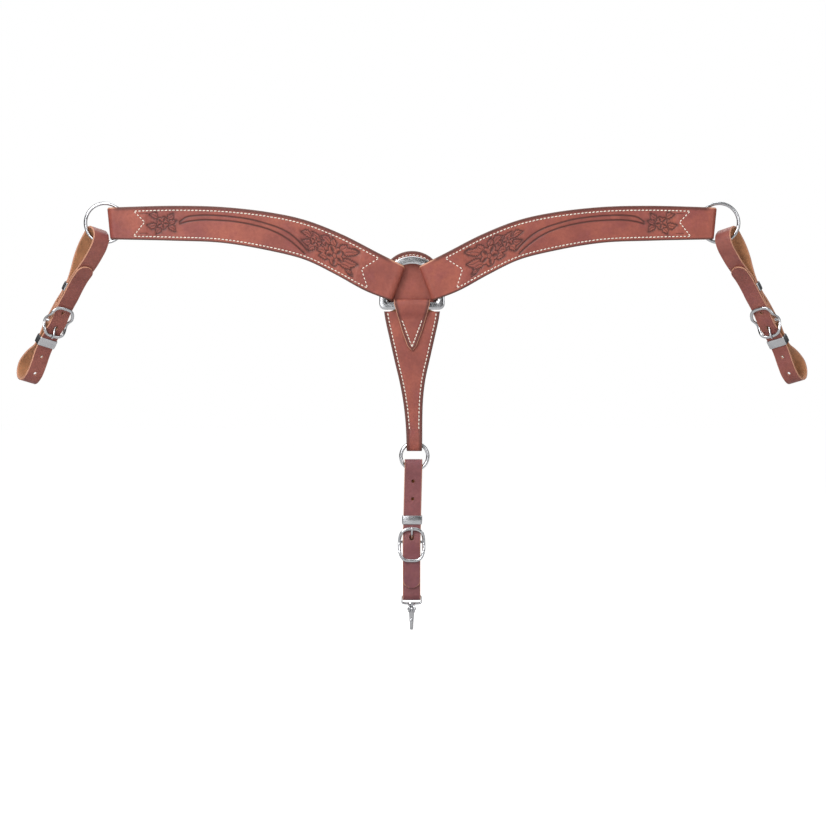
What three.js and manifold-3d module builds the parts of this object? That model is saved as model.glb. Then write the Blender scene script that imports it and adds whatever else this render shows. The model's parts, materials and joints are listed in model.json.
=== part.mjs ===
// A western breastplate for a horse: two contoured leather arms, a centre dee on a round safe,
// a tapered drop, a centre strap with a snap, and a buckled tug on the ring at the end of each arm.
// Millimetres. +X is the viewer's right, +Z is up, and the front of the leather faces -Y.
// The origin is the middle of the safe's back, which lies on the horse's chest.
import * as THREE from "three";
import Module from "manifold-3d";

const wasm = await Module();
wasm.setup();
const { Manifold, Mesh } = wasm;
const V = (x, y, z) => new THREE.Vector3(x, y, z);

// ---- driving dimensions ----
const PLY = 3.1; // thickness of one ply of leather
const SAFE_R = 44.3; // radius of the round safe
const DEE_R = 46.65; // outer radius of the dee's round top
const DEE_Z = -10.4; // height of that round top's centre
const DEE_BAND = 11; // width of the dee's flat band
const DEE_T = 4.6; // thickness of the dee
const DEE_BOTTOM = -40; // lower edge of the dee
const METAL_Y = -13.05; // middle plane of the dee and of the two outer rings
const RING_R = 27.9; // outer ring, to the middle of its wire
const WIRE = 2.5; // radius of the ring wire
const RING_X = 438.6;
const RING_Z = 83.9;
const LOW_RING_R = 19.25; // ring at the foot of the drop
const LOW_RING = V(3.3, -9.9, -249.6);
const STRAP_W = 25.4; // width of the tugs and of the centre strap
const HOLE_R = 2.4; // punched holes
const BUCKLE_W = 39.5;
const BUCKLE_L = 49.7;
const FRAME_W = 4.5; // width of the buckle frame's section
const FRAME_T = 3.4; // thickness of that section
const BAR_R = 2; // centre bar of a buckle
const BAR_TO_TIP = 21; // centre bar to the outer edge of the bar the tongue rests on
const FRAME_RISE = 9; // how far the end bars stand in front of the centre bar
const KEEPER_L = 12.5;
const KEEPER_T = 1;

// ---- geometry helpers ----
// A closed indexed mesh from rows of section points; each row has the same count and the ends are capped.
function loft(rows, closed = false) {
  const n = rows[0].length;
  const pos = [];
  for (const row of rows) for (const p of row) pos.push(p.x, p.y, p.z);
  const idx = [];
  const last = closed ? rows.length : rows.length - 1;
  for (let i = 0; i < last; i++) {
    const a = i * n;
    const b = ((i + 1) % rows.length) * n;
    for (let k = 0; k < n; k++) {
      const l = (k + 1) % n;
      idx.push(a + k, a + l, b + l, a + k, b + l, b + k);
    }
  }
  if (!closed) {
    const e = (rows.length - 1) * n;
    for (let k = 1; k < n - 1; k++) {
      idx.push(0, k + 1, k);
      idx.push(e, e + k, e + k + 1);
    }
  }
  return facingOut(pos, idx);
}

function facingOut(pos, idx) {
  let v = 0;
  for (let i = 0; i < idx.length; i += 3) {
    const [a, b, c] = [idx[i] * 3, idx[i + 1] * 3, idx[i + 2] * 3];
    v +=
      pos[a] * (pos[b + 1] * pos[c + 2] - pos[b + 2] * pos[c + 1]) +
      pos[a + 1] * (pos[b + 2] * pos[c] - pos[b] * pos[c + 2]) +
      pos[a + 2] * (pos[b] * pos[c + 1] - pos[b + 1] * pos[c]);
  }
  if (v < 0)
    for (let i = 0; i < idx.length; i += 3)
      [idx[i + 1], idx[i + 2]] = [idx[i + 2], idx[i + 1]];
  const g = new THREE.BufferGeometry();
  g.setAttribute("position", new THREE.Float32BufferAttribute(pos, 3));
  g.setIndex(idx);
  return g;
}

function solid(g) {
  const src = g.index ? g.toNonIndexed() : g;
  const p = src.getAttribute("position").array;
  const key = new Map();
  const verts = [];
  const tri = [];
  for (let i = 0; i < p.length; i += 3) {
    const k = [0, 1, 2].map((j) => Math.round(p[i + j] * 2000)).join();
    if (!key.has(k)) {
      key.set(k, verts.length / 3);
      verts.push(p[i], p[i + 1], p[i + 2]);
    }
    tri.push(key.get(k));
  }
  const keep = [];
  for (let i = 0; i < tri.length; i += 3)
    if (
      tri[i] !== tri[i + 1] &&
      tri[i + 1] !== tri[i + 2] &&
      tri[i] !== tri[i + 2]
    )
      keep.push(tri[i], tri[i + 1], tri[i + 2]);
  return new Manifold(
    new Mesh({
      numProp: 3,
      vertProperties: new Float32Array(verts),
      triVerts: new Uint32Array(keep),
    }),
  );
}

function geometry(m) {
  const mesh = m.getMesh();
  const pos = [];
  for (let i = 0; i < mesh.numVert; i++)
    for (let j = 0; j < 3; j++)
      pos.push(mesh.vertProperties[i * mesh.numProp + j]);
  return facingOut(pos, Array.from(mesh.triVerts));
}

const cut = (a, ...b) =>
  geometry(b.reduce((s, t) => s.subtract(solid(t)), solid(a)));
const join = (a, ...b) =>
  geometry(b.reduce((s, t) => s.add(solid(t)), solid(a)));

// A round bar from a to b.
function rod(a, b, r, sides = 10) {
  const g = new THREE.CylinderGeometry(r, r, a.distanceTo(b), sides);
  g.applyQuaternion(
    new THREE.Quaternion().setFromUnitVectors(
      V(0, 1, 0),
      b.clone().sub(a).normalize(),
    ),
  );
  return g.translate((a.x + b.x) / 2, (a.y + b.y) / 2, (a.z + b.z) / 2);
}

// A box between two corners of a frame.
function box(f, t0, t1, q0, q1, d0, d1) {
  const row = (q) => [f(t0, q, d0), f(t1, q, d0), f(t1, q, d1), f(t0, q, d1)];
  return loft([row(q0), row(q1)]);
}

// Points along a smooth path through hand-placed points, closer together where it bends.
function path(points, reach, turn = 15) {
  const curve = new THREE.CatmullRomCurve3(
    points.map(([a, b]) => V(a, b, 0)),
    false,
    "centripetal",
  );
  curve.arcLengthDivisions = 1200;
  const n = Math.round(curve.getLength() / 0.7);
  const out = [curve.getPointAt(0)];
  let heading = curve.getTangentAt(0);
  for (let i = 1; i < n; i++) {
    const p = curve.getPointAt(i / n);
    const t = curve.getTangentAt(i / n);
    const bent = THREE.MathUtils.radToDeg(t.angleTo(heading));
    if (bent > turn || p.distanceTo(out[out.length - 1]) > reach) {
      out.push(p);
      heading = t;
    }
  }
  if (out[out.length - 1].distanceTo(curve.getPointAt(1)) < 0.6) out.pop();
  out.push(curve.getPointAt(1));
  return out;
}

// A flat strap bent along a path in the (q, d) plane of a frame f(t, q, d) -> world point.
function strap(f, centre, halfWidth, thick) {
  const rows = centre.map((p, i) => {
    const a = centre[Math.max(0, i - 1)];
    const b = centre[Math.min(centre.length - 1, i + 1)];
    const t = b.clone().sub(a).normalize();
    const n = V(-t.y, t.x, 0).multiplyScalar(thick / 2);
    const w = typeof halfWidth === "function" ? halfWidth(i, p) : halfWidth;
    return [
      f(-w, p.x + n.x, p.y + n.y),
      f(w, p.x + n.x, p.y + n.y),
      f(w, p.x - n.x, p.y - n.y),
      f(-w, p.x - n.x, p.y - n.y),
    ];
  });
  return loft(rows);
}

const group = new THREE.Group();
group.name = "breastplate";
const COLOURS = {
  leather: 0x8e4a3c,
  lining: 0xa96a45,
  steel: 0xc8ccd0,
};
function add(name, geo, colour) {
  const g = geo.index ? geo : geo;
  g.computeVertexNormals();
  const m = new THREE.Mesh(
    g,
    new THREE.MeshStandardMaterial({ color: COLOURS[colour] }),
  );
  m.name = name;
  group.add(m);
  return m;
}
// The same geometry on the other side of the centre line.
function mirrored(g) {
  const pos = Array.from(g.getAttribute("position").array);
  for (let i = 0; i < pos.length; i += 3) pos[i] = -pos[i];
  return facingOut(
    pos,
    g.index ? Array.from(g.index.array) : [...Array(pos.length / 3).keys()],
  );
}
function pair(name, g, colour) {
  add("right_" + name, g, colour);
  add("left_" + name, mirrored(g), colour);
}

// ---- the safe: two round plies behind the dee ----
const disc = (r, y0, y1) => rod(V(0, y0, 0), V(0, y1, 0), r, 48);
add("safe_back", disc(SAFE_R, -2.7, 0), "leather");
add("safe_front", disc(SAFE_R, -5.6, -2.95), "leather");

// ---- the dee ----
{
  const outline = (inset, corner) => {
    const r = DEE_R - inset;
    const low = DEE_BOTTOM + inset;
    const s = new THREE.Shape();
    s.moveTo(r, low + corner);
    s.absarc(0, DEE_Z, r, 0, Math.PI, false);
    s.lineTo(-r, low + corner);
    s.absarc(-r + corner, low + corner, corner, Math.PI, 1.5 * Math.PI, false);
    s.lineTo(r - corner, low);
    s.absarc(r - corner, low + corner, corner, 1.5 * Math.PI, 2 * Math.PI, false);
    return s;
  };
  const shape = outline(0, 8);
  shape.holes.push(
    new THREE.Path(outline(DEE_BAND, 3).getPoints(14).reverse()),
  );
  const bevel = 1.1;
  const g = new THREE.ExtrudeGeometry(shape, {
    depth: DEE_T - 2 * bevel,
    bevelEnabled: true,
    bevelThickness: bevel,
    bevelSize: 1.6,
    bevelOffset: -1.6,
    bevelSegments: 1,
    curveSegments: 14,
  });
  g.translate(0, 0, -(DEE_T - 2 * bevel) / 2);
  g.rotateX(Math.PI / 2);
  g.translate(0, METAL_Y, 0);
  add("center_dee", geometry(solid(g)), "steel");
}

// ---- the drop ----
const dropHalf = new THREE.SplineCurve(
  [
    [-242, 11],
    [-198, 12.2],
    [-169, 14.4],
    [-141, 18.6],
    [-112, 25.2],
    [-83, 31.8],
    [-55, 38],
    [-42.5, 40],
  ].map(([z, w]) => new THREE.Vector2(z, w)),
);
function widthAt(curve, z) {
  const pts = curve.userData || (curve.userData = curve.getPoints(80));
  if (z <= pts[0].x) return pts[0].y;
  for (let i = 1; i < pts.length; i++)
    if (z <= pts[i].x) {
      const k = (z - pts[i - 1].x) / (pts[i].x - pts[i - 1].x);
      return pts[i - 1].y + k * (pts[i].y - pts[i - 1].y);
    }
  return pts[pts.length - 1].y;
}
// The drop swings a little towards +X at its foot.
const drift = (z) => {
  const k = THREE.MathUtils.clamp((-z - 120) / 110, 0, 1);
  return LOW_RING.x * k * k * (3 - 2 * k);
};
// q is height, d is forward of the chest.
const dropFrame = (t, q, d) => V(t + drift(q), -d, q);
{
  // lining: behind the face, up through the dee, over its bar and down in front as a pointed tab
  const p = path(
    [
      [-217, 7.9],
      [-150, 7.9],
      [-90, 7.9],
      [-48, 7.9],
      [-34, 7.85],
      [-29.5, 8.2],
      [-27.2, 10.2],
      [-26.7, 13],
      [-27.6, 16.2],
      [-31, 18.1],
      [-38, 18.3],
      [-44, 17.6],
      [-51, 15.2],
      [-60, 14.7],
      [-80, 14.7],
      [-98, 14.7],
    ],
    12,
  );
  const top = p.reduce((b, c, i) => (c.x > p[b].x ? i : b), 0);
  const half = (i, c) => {
    if (i < top) {
      // behind: as wide as the face, with a narrow neck through the dee
      if (c.x > -40) return 25.8;
      if (c.x > -45)
        return THREE.MathUtils.lerp(25.8, 39, (-40 - c.x) / 5);
      return widthAt(dropHalf, c.x) - 0.6;
    }
    const z = [-26, -31, -45, -70.6, -92.4, -98.1];
    const w = [25.8, 25.8, 22, 14.6, 6.4, 1.2];
    for (let k = 1; k < z.length; k++)
      if (c.x >= z[k])
        return THREE.MathUtils.lerp(
          w[k - 1],
          w[k],
          THREE.MathUtils.clamp((z[k - 1] - c.x) / (z[k - 1] - z[k]), 0, 1),
        );
    return 1.2;
  };
  add("drop_lining", strap(dropFrame, p, half, PLY - 0.1), "lining");
}
{
  // face: down the front, round the lower ring and back up behind
  const p = path(
    [
      [-42.6, 11.3],
      [-70, 11.3],
      [-110, 11.3],
      [-150, 11.3],
      [-190, 11.3],
      [-207, 11.5],
      [-217, 13],
      [-227, 14.6],
      [-236, 14.3],
      [-240.2, 11.8],
      [-240.3, 8.2],
      [-236, 5.6],
      [-227, 5.1],
      [-218, 4.8],
      [-205, 4.6],
      [-188, 4.6],
    ],
    12,
  );
  const low = p.reduce((b, c, i) => (c.x < p[b].x ? i : b), 0);
  const half = (i, c) =>
    i > low && c.x > -202
      ? THREE.MathUtils.lerp(11.6, 2, (c.x + 202) / 14)
      : widthAt(dropHalf, c.x);
  add("drop_face", strap(dropFrame, p, half, PLY - 0.1), "leather");
}
function ring(c, r, segs) {
  const g = new THREE.TorusGeometry(r, WIRE, 8, segs);
  g.rotateX(Math.PI / 2);
  return geometry(solid(g.translate(c.x, c.y, c.z)));
}
add("lower_ring", ring(LOW_RING, LOW_RING_R, 28), "steel");

// ---- the arms ----
// Upper and lower edges from the inner fold at the dee to the outer fold at the ring, in (x, z).
const ARM_UPPER = [
  [9.4, 21.2],
  [48.6, 41],
  [100, 67.3],
  [152, 87.6],
  [203, 98.7],
  [271, 106.3],
  [340, 108],
  [435.5, 105.5],
];
const ARM_LOWER = [
  [28.5, -28],
  [66, -13.7],
  [110, 10.3],
  [152, 30.5],
  [203, 43.7],
  [271, 55],
  [340, 58],
  [431, 60],
];
const edge = (pts) =>
  new THREE.CatmullRomCurve3(pts.map(([x, z]) => V(x, 0, z)), false, "centripetal");
const upper = edge(ARM_UPPER);
const lower = edge(ARM_LOWER);
const armTable = [];
for (let i = 0; i <= 400; i++) {
  const u = upper.getPoint(i / 400);
  const l = lower.getPoint(i / 400);
  const m = u.clone().add(l).multiplyScalar(0.5);
  const s = i
    ? armTable[i - 1].s + m.distanceTo(armTable[i - 1].m)
    : 0;
  armTable.push({ s, m, u, l });
}
const ARM_S = armTable[400].s;
function armAt(s) {
  let i = 1;
  while (i < 400 && armTable[i].s < s) i++;
  const a = armTable[i - 1];
  const b = armTable[i];
  const k = (s - a.s) / (b.s - a.s);
  return { u: a.u.clone().lerp(b.u, k), l: a.l.clone().lerp(b.l, k) };
}
// Frame of an arm: t from -1 (lower edge) to 1 (upper edge), q along the arm, d forward of the chest.
const armFrame = (t, q, d) => {
  const { u, l } = armAt(q);
  const p = l.lerp(u, (t + 1) / 2);
  return V(p.x, -d, p.z);
};
const FRONT = 18.2; // middle of the front ply
const TURNED = 7.9; // middle of the turned-back ply where it passes behind the metal
const BEHIND = 14.8; // middle of the ply sewn straight onto the front one
{
  const fold = (FRONT - TURNED) / 2;
  const bend = fold + PLY / 2;
  const arc = (s0, sign) =>
    [0.25, 0.5, 0.75].map((k) => [
      s0 + sign * fold * Math.sin(k * Math.PI),
      -METAL_Y + fold * Math.cos(k * Math.PI),
    ]);
  const E = ARM_S;
  const p = path(
    [
      [61, BEHIND],
      [50, BEHIND],
      [39.5, BEHIND - 0.05],
      [35, BEHIND - 2.1],
      [30.5, TURNED + 1],
      [26, TURNED],
      [bend + 6, TURNED],
      [bend, TURNED],
      ...arc(bend, -1).reverse(),
      [bend, FRONT],
      [bend + 8, FRONT],
      ...[0.12, 0.2, 0.3, 0.4, 0.5, 0.6, 0.7, 0.8, 0.9].map((k) => [k * E, FRONT]),
      [E - bend - 8, FRONT],
      [E - bend, FRONT],
      ...arc(E - bend, 1),
      [E - bend, TURNED],
      [E - 23, TURNED],
      [E - 27.5, TURNED + 1],
      [E - 31.5, BEHIND - 2.1],
      [E - 35.5, BEHIND - 0.05],
      [E - 46, BEHIND],
      [E - 56, BEHIND],
    ],
    10,
  );
  const half = (i, c) => {
    if (c.y > BEHIND + 1.2) return 1;
    const k = Math.max((c.x < 100 ? c.x - 33 : E - 32 - c.x) / (c.x < 100 ? 28 : 24), 0);
    return THREE.MathUtils.lerp(0.96, 0.03, Math.min(1, k));
  };
  pair("arm_face", strap(armFrame, p, half, PLY), "leather");
  // lining: behind the face, notched to meet the two turned-back points
  const back = path(
    Array.from({ length: 12 }, (_, k) => [
      THREE.MathUtils.lerp(38.5, E - 37, k / 11),
      BEHIND,
    ]),
    12,
  );
  const body = strap(armFrame, back, 0.985, PLY - 0.2);
  const notch = (s0, s1) =>
    strap(
      armFrame,
      path([[s0, BEHIND], [(s0 + s1) / 2, BEHIND], [s1, BEHIND]], 3),
      (i, c) =>
        THREE.MathUtils.lerp(1.15, 0.04, Math.abs((c.x - s0) / (s1 - s0))),
      8,
    );
  pair("arm_lining", cut(body, notch(31, 63), notch(E - 30, E - 58)), "lining");
}
const rightRing = V(RING_X, METAL_Y, RING_Z);
pair("outer_ring", ring(rightRing, RING_R, 36), "steel");

// ---- buckle, keepers and punched holes, in a strap frame f(t, q, d) with the centre bar at q = d = 0 ----
// q runs from the bar towards the end bar that carries the tongue's tip.
const frameRise = (q) => {
  const k = Math.min(1, Math.abs(q) / 15);
  return FRAME_RISE * Math.sin((k * Math.PI) / 2) ** 2;
};
function buckleFrame(f) {
  const a = (BUCKLE_W - FRAME_W) / 2;
  const b = (BUCKLE_L - FRAME_W) / 2;
  const mid = BAR_TO_TIP - BUCKLE_L / 2;
  const N = 32;
  const pts = [];
  for (let i = 0; i < N; i++) {
    const w = (i / N) * 2 * Math.PI;
    const c = Math.cos(w);
    const s = Math.sin(w);
    // rounder than a rectangle, squarer than an ellipse
    pts.push([
      a * Math.sign(c) * Math.abs(c) ** 0.62,
      mid + b * Math.sign(s) * Math.abs(s) ** 0.72,
    ]);
  }
  const rows = pts.map(([x, y], i) => {
    const [x0, y0] = pts[(i + N - 1) % N];
    const [x1, y1] = pts[(i + 1) % N];
    const l = Math.hypot(x1 - x0, y1 - y0);
    const nx = (y1 - y0) / l;
    const ny = -(x1 - x0) / l;
    const d = frameRise(y);
    return [
      [0.5, 0.22],
      [0.28, 0.5],
      [-0.28, 0.5],
      [-0.5, 0.22],
      [-0.5, -0.22],
      [-0.28, -0.5],
      [0.28, -0.5],
      [0.5, -0.22],
    ].map(([u, v]) =>
      f(x + nx * u * FRAME_W, y + ny * u * FRAME_W, d + v * FRAME_T),
    );
  });
  return join(loft(rows, true), rod(f(-a, 0, 0), f(a, 0, 0), BAR_R, 10));
}
function tongue(f) {
  const r = 1.15;
  const c = BAR_R + 0.4 + r;
  // an open eye round the bar, then forward through the billet and down on the end bar
  const full = [];
  for (let a = 0; a >= -270; a -= 30) {
    const w = (a * Math.PI) / 180;
    full.push([c * Math.cos(w), c * Math.sin(w)]);
  }
  full.push(
    [3.6, 3.9],
    [8, 6.4],
    [12, 9.9],
    [16, 12.1],
    [19, 12.3],
    [21.8, 11.7],
  );
  const curve = new THREE.CatmullRomCurve3(
    full.map(([q, d]) => V(q, d, 0)),
    false,
    "centripetal",
  );
  const n = 30;
  const rows = [];
  for (let i = 0; i <= n; i++) {
    const o = curve.getPointAt(i / n);
    const t = curve.getTangentAt(i / n);
    const h = r * (i / n > 0.9 ? 0.8 : 1);
    rows.push(
      [0, 1, 2, 3, 4, 5].map((k) => {
        const w = (k * Math.PI) / 3;
        const x = Math.cos(w) * h * 1.35;
        const y = Math.sin(w) * h;
        return f(x, o.x - t.y * y, o.y + t.x * y);
      }),
    );
  }
  return loft(rows);
}
function keeper(f, q0, d0, d1) {
  const w = STRAP_W / 2 + 0.5;
  const sq = (e) => (q) =>
    [
      [-w - e, d0 - e],
      [w + e, d0 - e],
      [w + e, d1 + e],
      [-w - e, d1 + e],
    ].map(([t, d]) => f(t, q, d));
  const out = sq(KEEPER_T);
  const inn = sq(0);
  const a = q0 - KEEPER_L / 2;
  const b = q0 + KEEPER_L / 2;
  return cut(loft([out(a), out(b)]), loft([inn(a - 1), inn(b + 1)]));
}
const punch = (f, q, d, r = HOLE_R) => rod(f(0, q, d - 3), f(0, q, d + 3), r, 8);

// ---- strap with its own buckle: chape round the centre bar, a loop at each end, then the billet ----
// The path runs in (q, d); q = 0 is the centre bar and the tongue points to +q.
const bar0 = BAR_R + 0.2 + PLY / 2;
function buckledStrap(f, pts, holes) {
  const long = path(pts, 14);
  // extra stations so that the billet's tip is round
  const end = long[long.length - 1];
  const back = long[long.length - 2].clone().sub(end).normalize();
  const p = long.filter((c) => c === end || c.distanceTo(end) > 10.5);
  p.splice(
    p.length - 1,
    0,
    ...[10, 7, 4.5, 2.6, 1.2].map((r) => end.clone().addScaledVector(back, r)),
  );
  const n = p.length;
  const half = (i) => {
    const l = i / (n - 1);
    if (l > 0.7) {
      // the rounded tip of the billet
      const tip = p[n - 1];
      const r = p[i].distanceTo(tip);
      if (r < 10) {
        const k = 1 - r / 10;
        return (STRAP_W / 2) * Math.sqrt(Math.max(0.12, 1 - 0.86 * k * k * k));
      }
    }
    return STRAP_W / 2;
  };
  const body = strap(f, p, half, PLY);
  // slot for the tongue where the chape goes round the bar
  const slot = box(f, -2.6, 2.6, -5.6, 9.5, -6.2, 5.4);
  return cut(body, slot, ...holes.map(([q, d, r]) => punch(f, q, d, r)));
}

// Right tug: hangs from the lower outer part of its ring, opened to its outer side.
// u runs down the strap from the ring wire, w is the outward rim and b points back.
const W = V(0.79, -0.56, 0.25).normalize();
const R = V(0.402, 0.306, -0.863);
R.addScaledVector(W, -R.dot(W)).normalize();
const B = W.clone().cross(R); // back
const TUG_BAR = 136.5; // from the ring wire to the buckle's centre bar
const TUG_OUT = 12.5; // how far outside the ring's lowest point the tug hangs
const TUG_AT = V(
  RING_X + TUG_OUT,
  METAL_Y,
  RING_Z - Math.sqrt(RING_R ** 2 - TUG_OUT ** 2),
);
const tugFrame = (t, q, d) =>
  TUG_AT.clone()
    .addScaledVector(W, t)
    .addScaledVector(R, q + TUG_BAR)
    .addScaledVector(B, -d);
{
  const u = (x) => x - TUG_BAR;
  const pts = [
    [u(108), -1.95],
    [u(118), -1.95],
    [u(126), -2.4],
    [-5.5, -3.3],
    [0, -bar0],
    [bar0 * 0.72, -bar0 * 0.72],
    [bar0, 0],
    [bar0 * 0.72, bar0 * 0.72],
    [0, bar0],
    [-6, 3.1],
    [u(122), 1.75],
    [u(112), 1.55],
    [u(95), 1.55],
    [u(73), 1.6],
    [u(62), 3.5],
    [u(48), 8],
    [u(32), 13],
    [u(16), 15.4],
    [u(3), 15.6],
    [u(-7), 11.8],
    [u(-12.4), 4.5],
    [u(-13.6), -3],
    [u(-13.2), -10.5],
    [u(-8.6), -17.4],
    [u(6), -19.8],
    [u(19), -20],
    [u(37), -16],
    [u(54), -8],
    [u(65), -3.6],
    [u(73.5), -2],
    [u(92), -2.3],
    [u(103), -4.6],
    [u(112), -5.9],
    [u(124), -6.7],
    [u(136.5), -7.3],
    [u(150), -6.9],
    [u(159), -5.2],
    [u(166), -4.5],
    [u(178.5), -4.7],
    [u(184), -7],
    [u(192), -13],
    [u(204), -20],
    [u(220), -24],
    [u(232), -17],
    [u(236.5), -5],
    [u(232), 7],
    [u(219), 12],
    [u(202), 9.5],
    [u(189), 5.6],
    [u(179), 3.75],
    [u(165), 3.6],
    [u(157), 4.5],
    [u(149), 4.8],
    [u(144.6), 6.3],
    [u(136.5), 7.4],
    [u(128.5), 6.9],
    [u(121.5), 5.6],
    [u(116.5), 5.15],
    [u(110), 5.1],
    [u(102), 5.5],
    [u(92), 6.4],
    [u(80), 6.4],
    [u(70), 6.9],
    [u(60), 8.3],
    [u(48), 12],
    [u(37.5), 15],
  ];
  const holes = [
    [u(191), 6.5, HOLE_R],
    [u(216.4), 11.6, HOLE_R],
    [u(144.2), 6.4, 3.4],
    [u(142.2), 6.6, 3.2],
  ];
  const s = buckledStrap(tugFrame, pts, holes);
  pair("tug_strap", s, "leather");
  pair("tug_buckle", buckleFrame(tugFrame), "steel");
  pair("tug_tongue", tongue(tugFrame), "steel");
  pair("tug_upper_keeper", keeper(tugFrame, u(80), -4.1, 3.6), "steel");
  pair("tug_lower_keeper", keeper(tugFrame, u(169), -6.9, 5.7), "steel");
}

// ---- centre strap: through the lower ring above and the snap's eye below ----
const BAR_Z = -372;
const CENTER_X = -0.6;
const CENTER_Y = -10.4;
const lean = (z) => CENTER_X + (LOW_RING.x - CENTER_X - 1.2) * THREE.MathUtils.clamp((z + 372) / 110, 0, 1);
const centerFrame = (t, q, d) => V(t + lean(BAR_Z + q), CENTER_Y - d, BAR_Z + q);
{
  const z = (x) => x - BAR_Z;
  const pts = [
    [z(-401), -1.95],
    [z(-391), -1.95],
    [z(-383), -2.4],
    [-5.5, -3.3],
    [0, -bar0],
    [bar0 * 0.72, -bar0 * 0.72],
    [bar0, 0],
    [bar0 * 0.72, bar0 * 0.72],
    [0, bar0],
    [-6, 3.1],
    [z(-386), 1.75],
    [z(-397), 1.55],
    [z(-412), 1.55],
    [z(-430), 2.2],
    [z(-443), 3.5],
    [z(-450.5), 3.5],
    [z(-453.4), 1],
    [z(-453.4), -3.1],
    [z(-450.5), -5.7],
    [z(-443), -5.7],
    [z(-430), -5.6],
    [z(-412), -5.7],
    [z(-400), -6],
    [z(-386), -6.7],
    [z(-372), -7.3],
    [z(-358), -6.9],
    [z(-349), -5.2],
    [z(-340), -4.6],
    [z(-325), -4.8],
    [z(-300), -5.4],
    [z(-280), -5.6],
    [z(-262), -5.7],
    [z(-257), -4.4],
    [z(-255.1), -0.5],
    [z(-257), 3.4],
    [z(-262), 4.7],
    [z(-280), 4.6],
    [z(-300), 4.3],
    [z(-325), 3.7],
    [z(-343), 3.6],
    [z(-351.5), 4.5],
    [z(-359.5), 4.8],
    [z(-363.9), 6.3],
    [z(-372), 7.4],
    [z(-380), 6.9],
    [z(-387), 5.6],
    [z(-392), 5.15],
    [z(-398.5), 5.1],
    [z(-410), 5.2],
    [z(-424), 5.5],
    [z(-437.5), 6.2],
  ];
  const holes = [
    [z(-285), 4.6, HOLE_R],
    [z(-310.4), 4, HOLE_R],
    [z(-364.3), 6.4, 3.4],
    [z(-366.3), 6.6, 3.2],
  ];
  add("center_strap", buckledStrap(centerFrame, pts, holes), "leather");
  add("center_buckle", buckleFrame(centerFrame), "steel");
  add("center_tongue", tongue(centerFrame), "steel");
  add("center_keeper", keeper(centerFrame, z(-340.5), -6.9, 5.7), "steel");
}

// ---- the snap: a square eye, a hooked body and a sprung gate, turned so its edge faces forward ----
const SNAP_T = 5.4; // thickness of the hook across the strap
const SNAP_PIN = [5.8, -467.2]; // gate pivot: forward, height
{
  const X = CENTER_X;
  const Y = -9.2;
  const f = (a, b, c) => V(X + a, Y - c, b);
  const eyeW = 14.6;
  const eye = cut(
    box(f, -eyeW, eyeW, -461.5, -446.9, -1.8, 1.8),
    box(f, -eyeW + 1.5, eyeW - 1.5, -457.8, -449.9, -4, 4),
  );
  // turns a profile drawn in (forward, height) into a plate of thickness w
  const plate = (shape, x0, x1) => {
    const g = new THREE.ExtrudeGeometry(shape, {
      depth: x1 - x0,
      bevelEnabled: false,
      curveSegments: 9,
    });
    g.applyMatrix4(
      new THREE.Matrix4().makeBasis(V(0, -1, 0), V(0, 0, 1), V(-1, 0, 0)),
    );
    return g.translate(X - x0, Y, 0);
  };
  const hook = new THREE.Shape();
  hook.moveTo(-4.4, -459);
  hook.lineTo(-8, -468);
  hook.lineTo(-9.2, -480);
  hook.absarc(0, -488.6, 9.2, Math.PI, 2 * Math.PI, false);
  hook.lineTo(9.2, -480.5);
  hook.lineTo(6, -480.5);
  hook.lineTo(5.4, -488);
  hook.absarc(0, -488.6, 5.4, 0, -Math.PI, true);
  hook.lineTo(-5, -476);
  hook.lineTo(-1, -472);
  hook.lineTo(1.8, -470);
  hook.lineTo(1.8, -459);
  const cheek = new THREE.Shape();
  cheek.moveTo(-3, -459);
  cheek.lineTo(-2, -468.5);
  cheek.absarc(SNAP_PIN[0], SNAP_PIN[1], 3.2, 1.35 * Math.PI, 2 * Math.PI, false);
  cheek.lineTo(8, -462.6);
  cheek.lineTo(4, -459);
  const pinHole = rod(
    f(-9, SNAP_PIN[1], SNAP_PIN[0]),
    f(9, SNAP_PIN[1], SNAP_PIN[0]),
    1.5,
    12,
  );
  const body = join(
    eye,
    plate(hook, -SNAP_T / 2, SNAP_T / 2),
    plate(cheek, 2.4, 5.2),
    plate(cheek, -5.2, -2.4),
    box(f, -5.2, 5.2, -461.5, -458.6, -3, 4),
  );
  add("snap_body", cut(body, pinHole), "steel");
  const lever = new THREE.Shape();
  lever.absarc(SNAP_PIN[0], SNAP_PIN[1], 2.6, 0.5 * Math.PI, 1.05 * Math.PI, false);
  lever.lineTo(3, -476);
  lever.lineTo(2.6, -484.6);
  lever.lineTo(4.7, -485);
  lever.lineTo(5.6, -477.5);
  lever.absarc(SNAP_PIN[0], SNAP_PIN[1], 2.6, -0.05 * Math.PI, 0.5 * Math.PI, false);
  add(
    "snap_gate",
    cut(plate(lever, -2.1, 2.1), pinHole),
    "steel",
  );
  add(
    "snap_rivet",
    rod(
      f(-5.7, SNAP_PIN[1], SNAP_PIN[0]),
      f(5.7, SNAP_PIN[1], SNAP_PIN[0]),
      1.2,
      12,
    ),
    "steel",
  );
}

export default group;
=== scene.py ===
"""A western breastplate in tooled leather: two lined arms, a round safe and its dee, a tapered drop,
a centre strap with a snap, and a buckled tug on the ring at the end of each arm.

Sizes in the tables are millimetres, in the frame of the CAD model: +X is the viewer's right, +Z is up,
and the front of the leather faces -Y. Every mesh is worked out as whole numpy arrays.
"""

import json
import math

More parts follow.
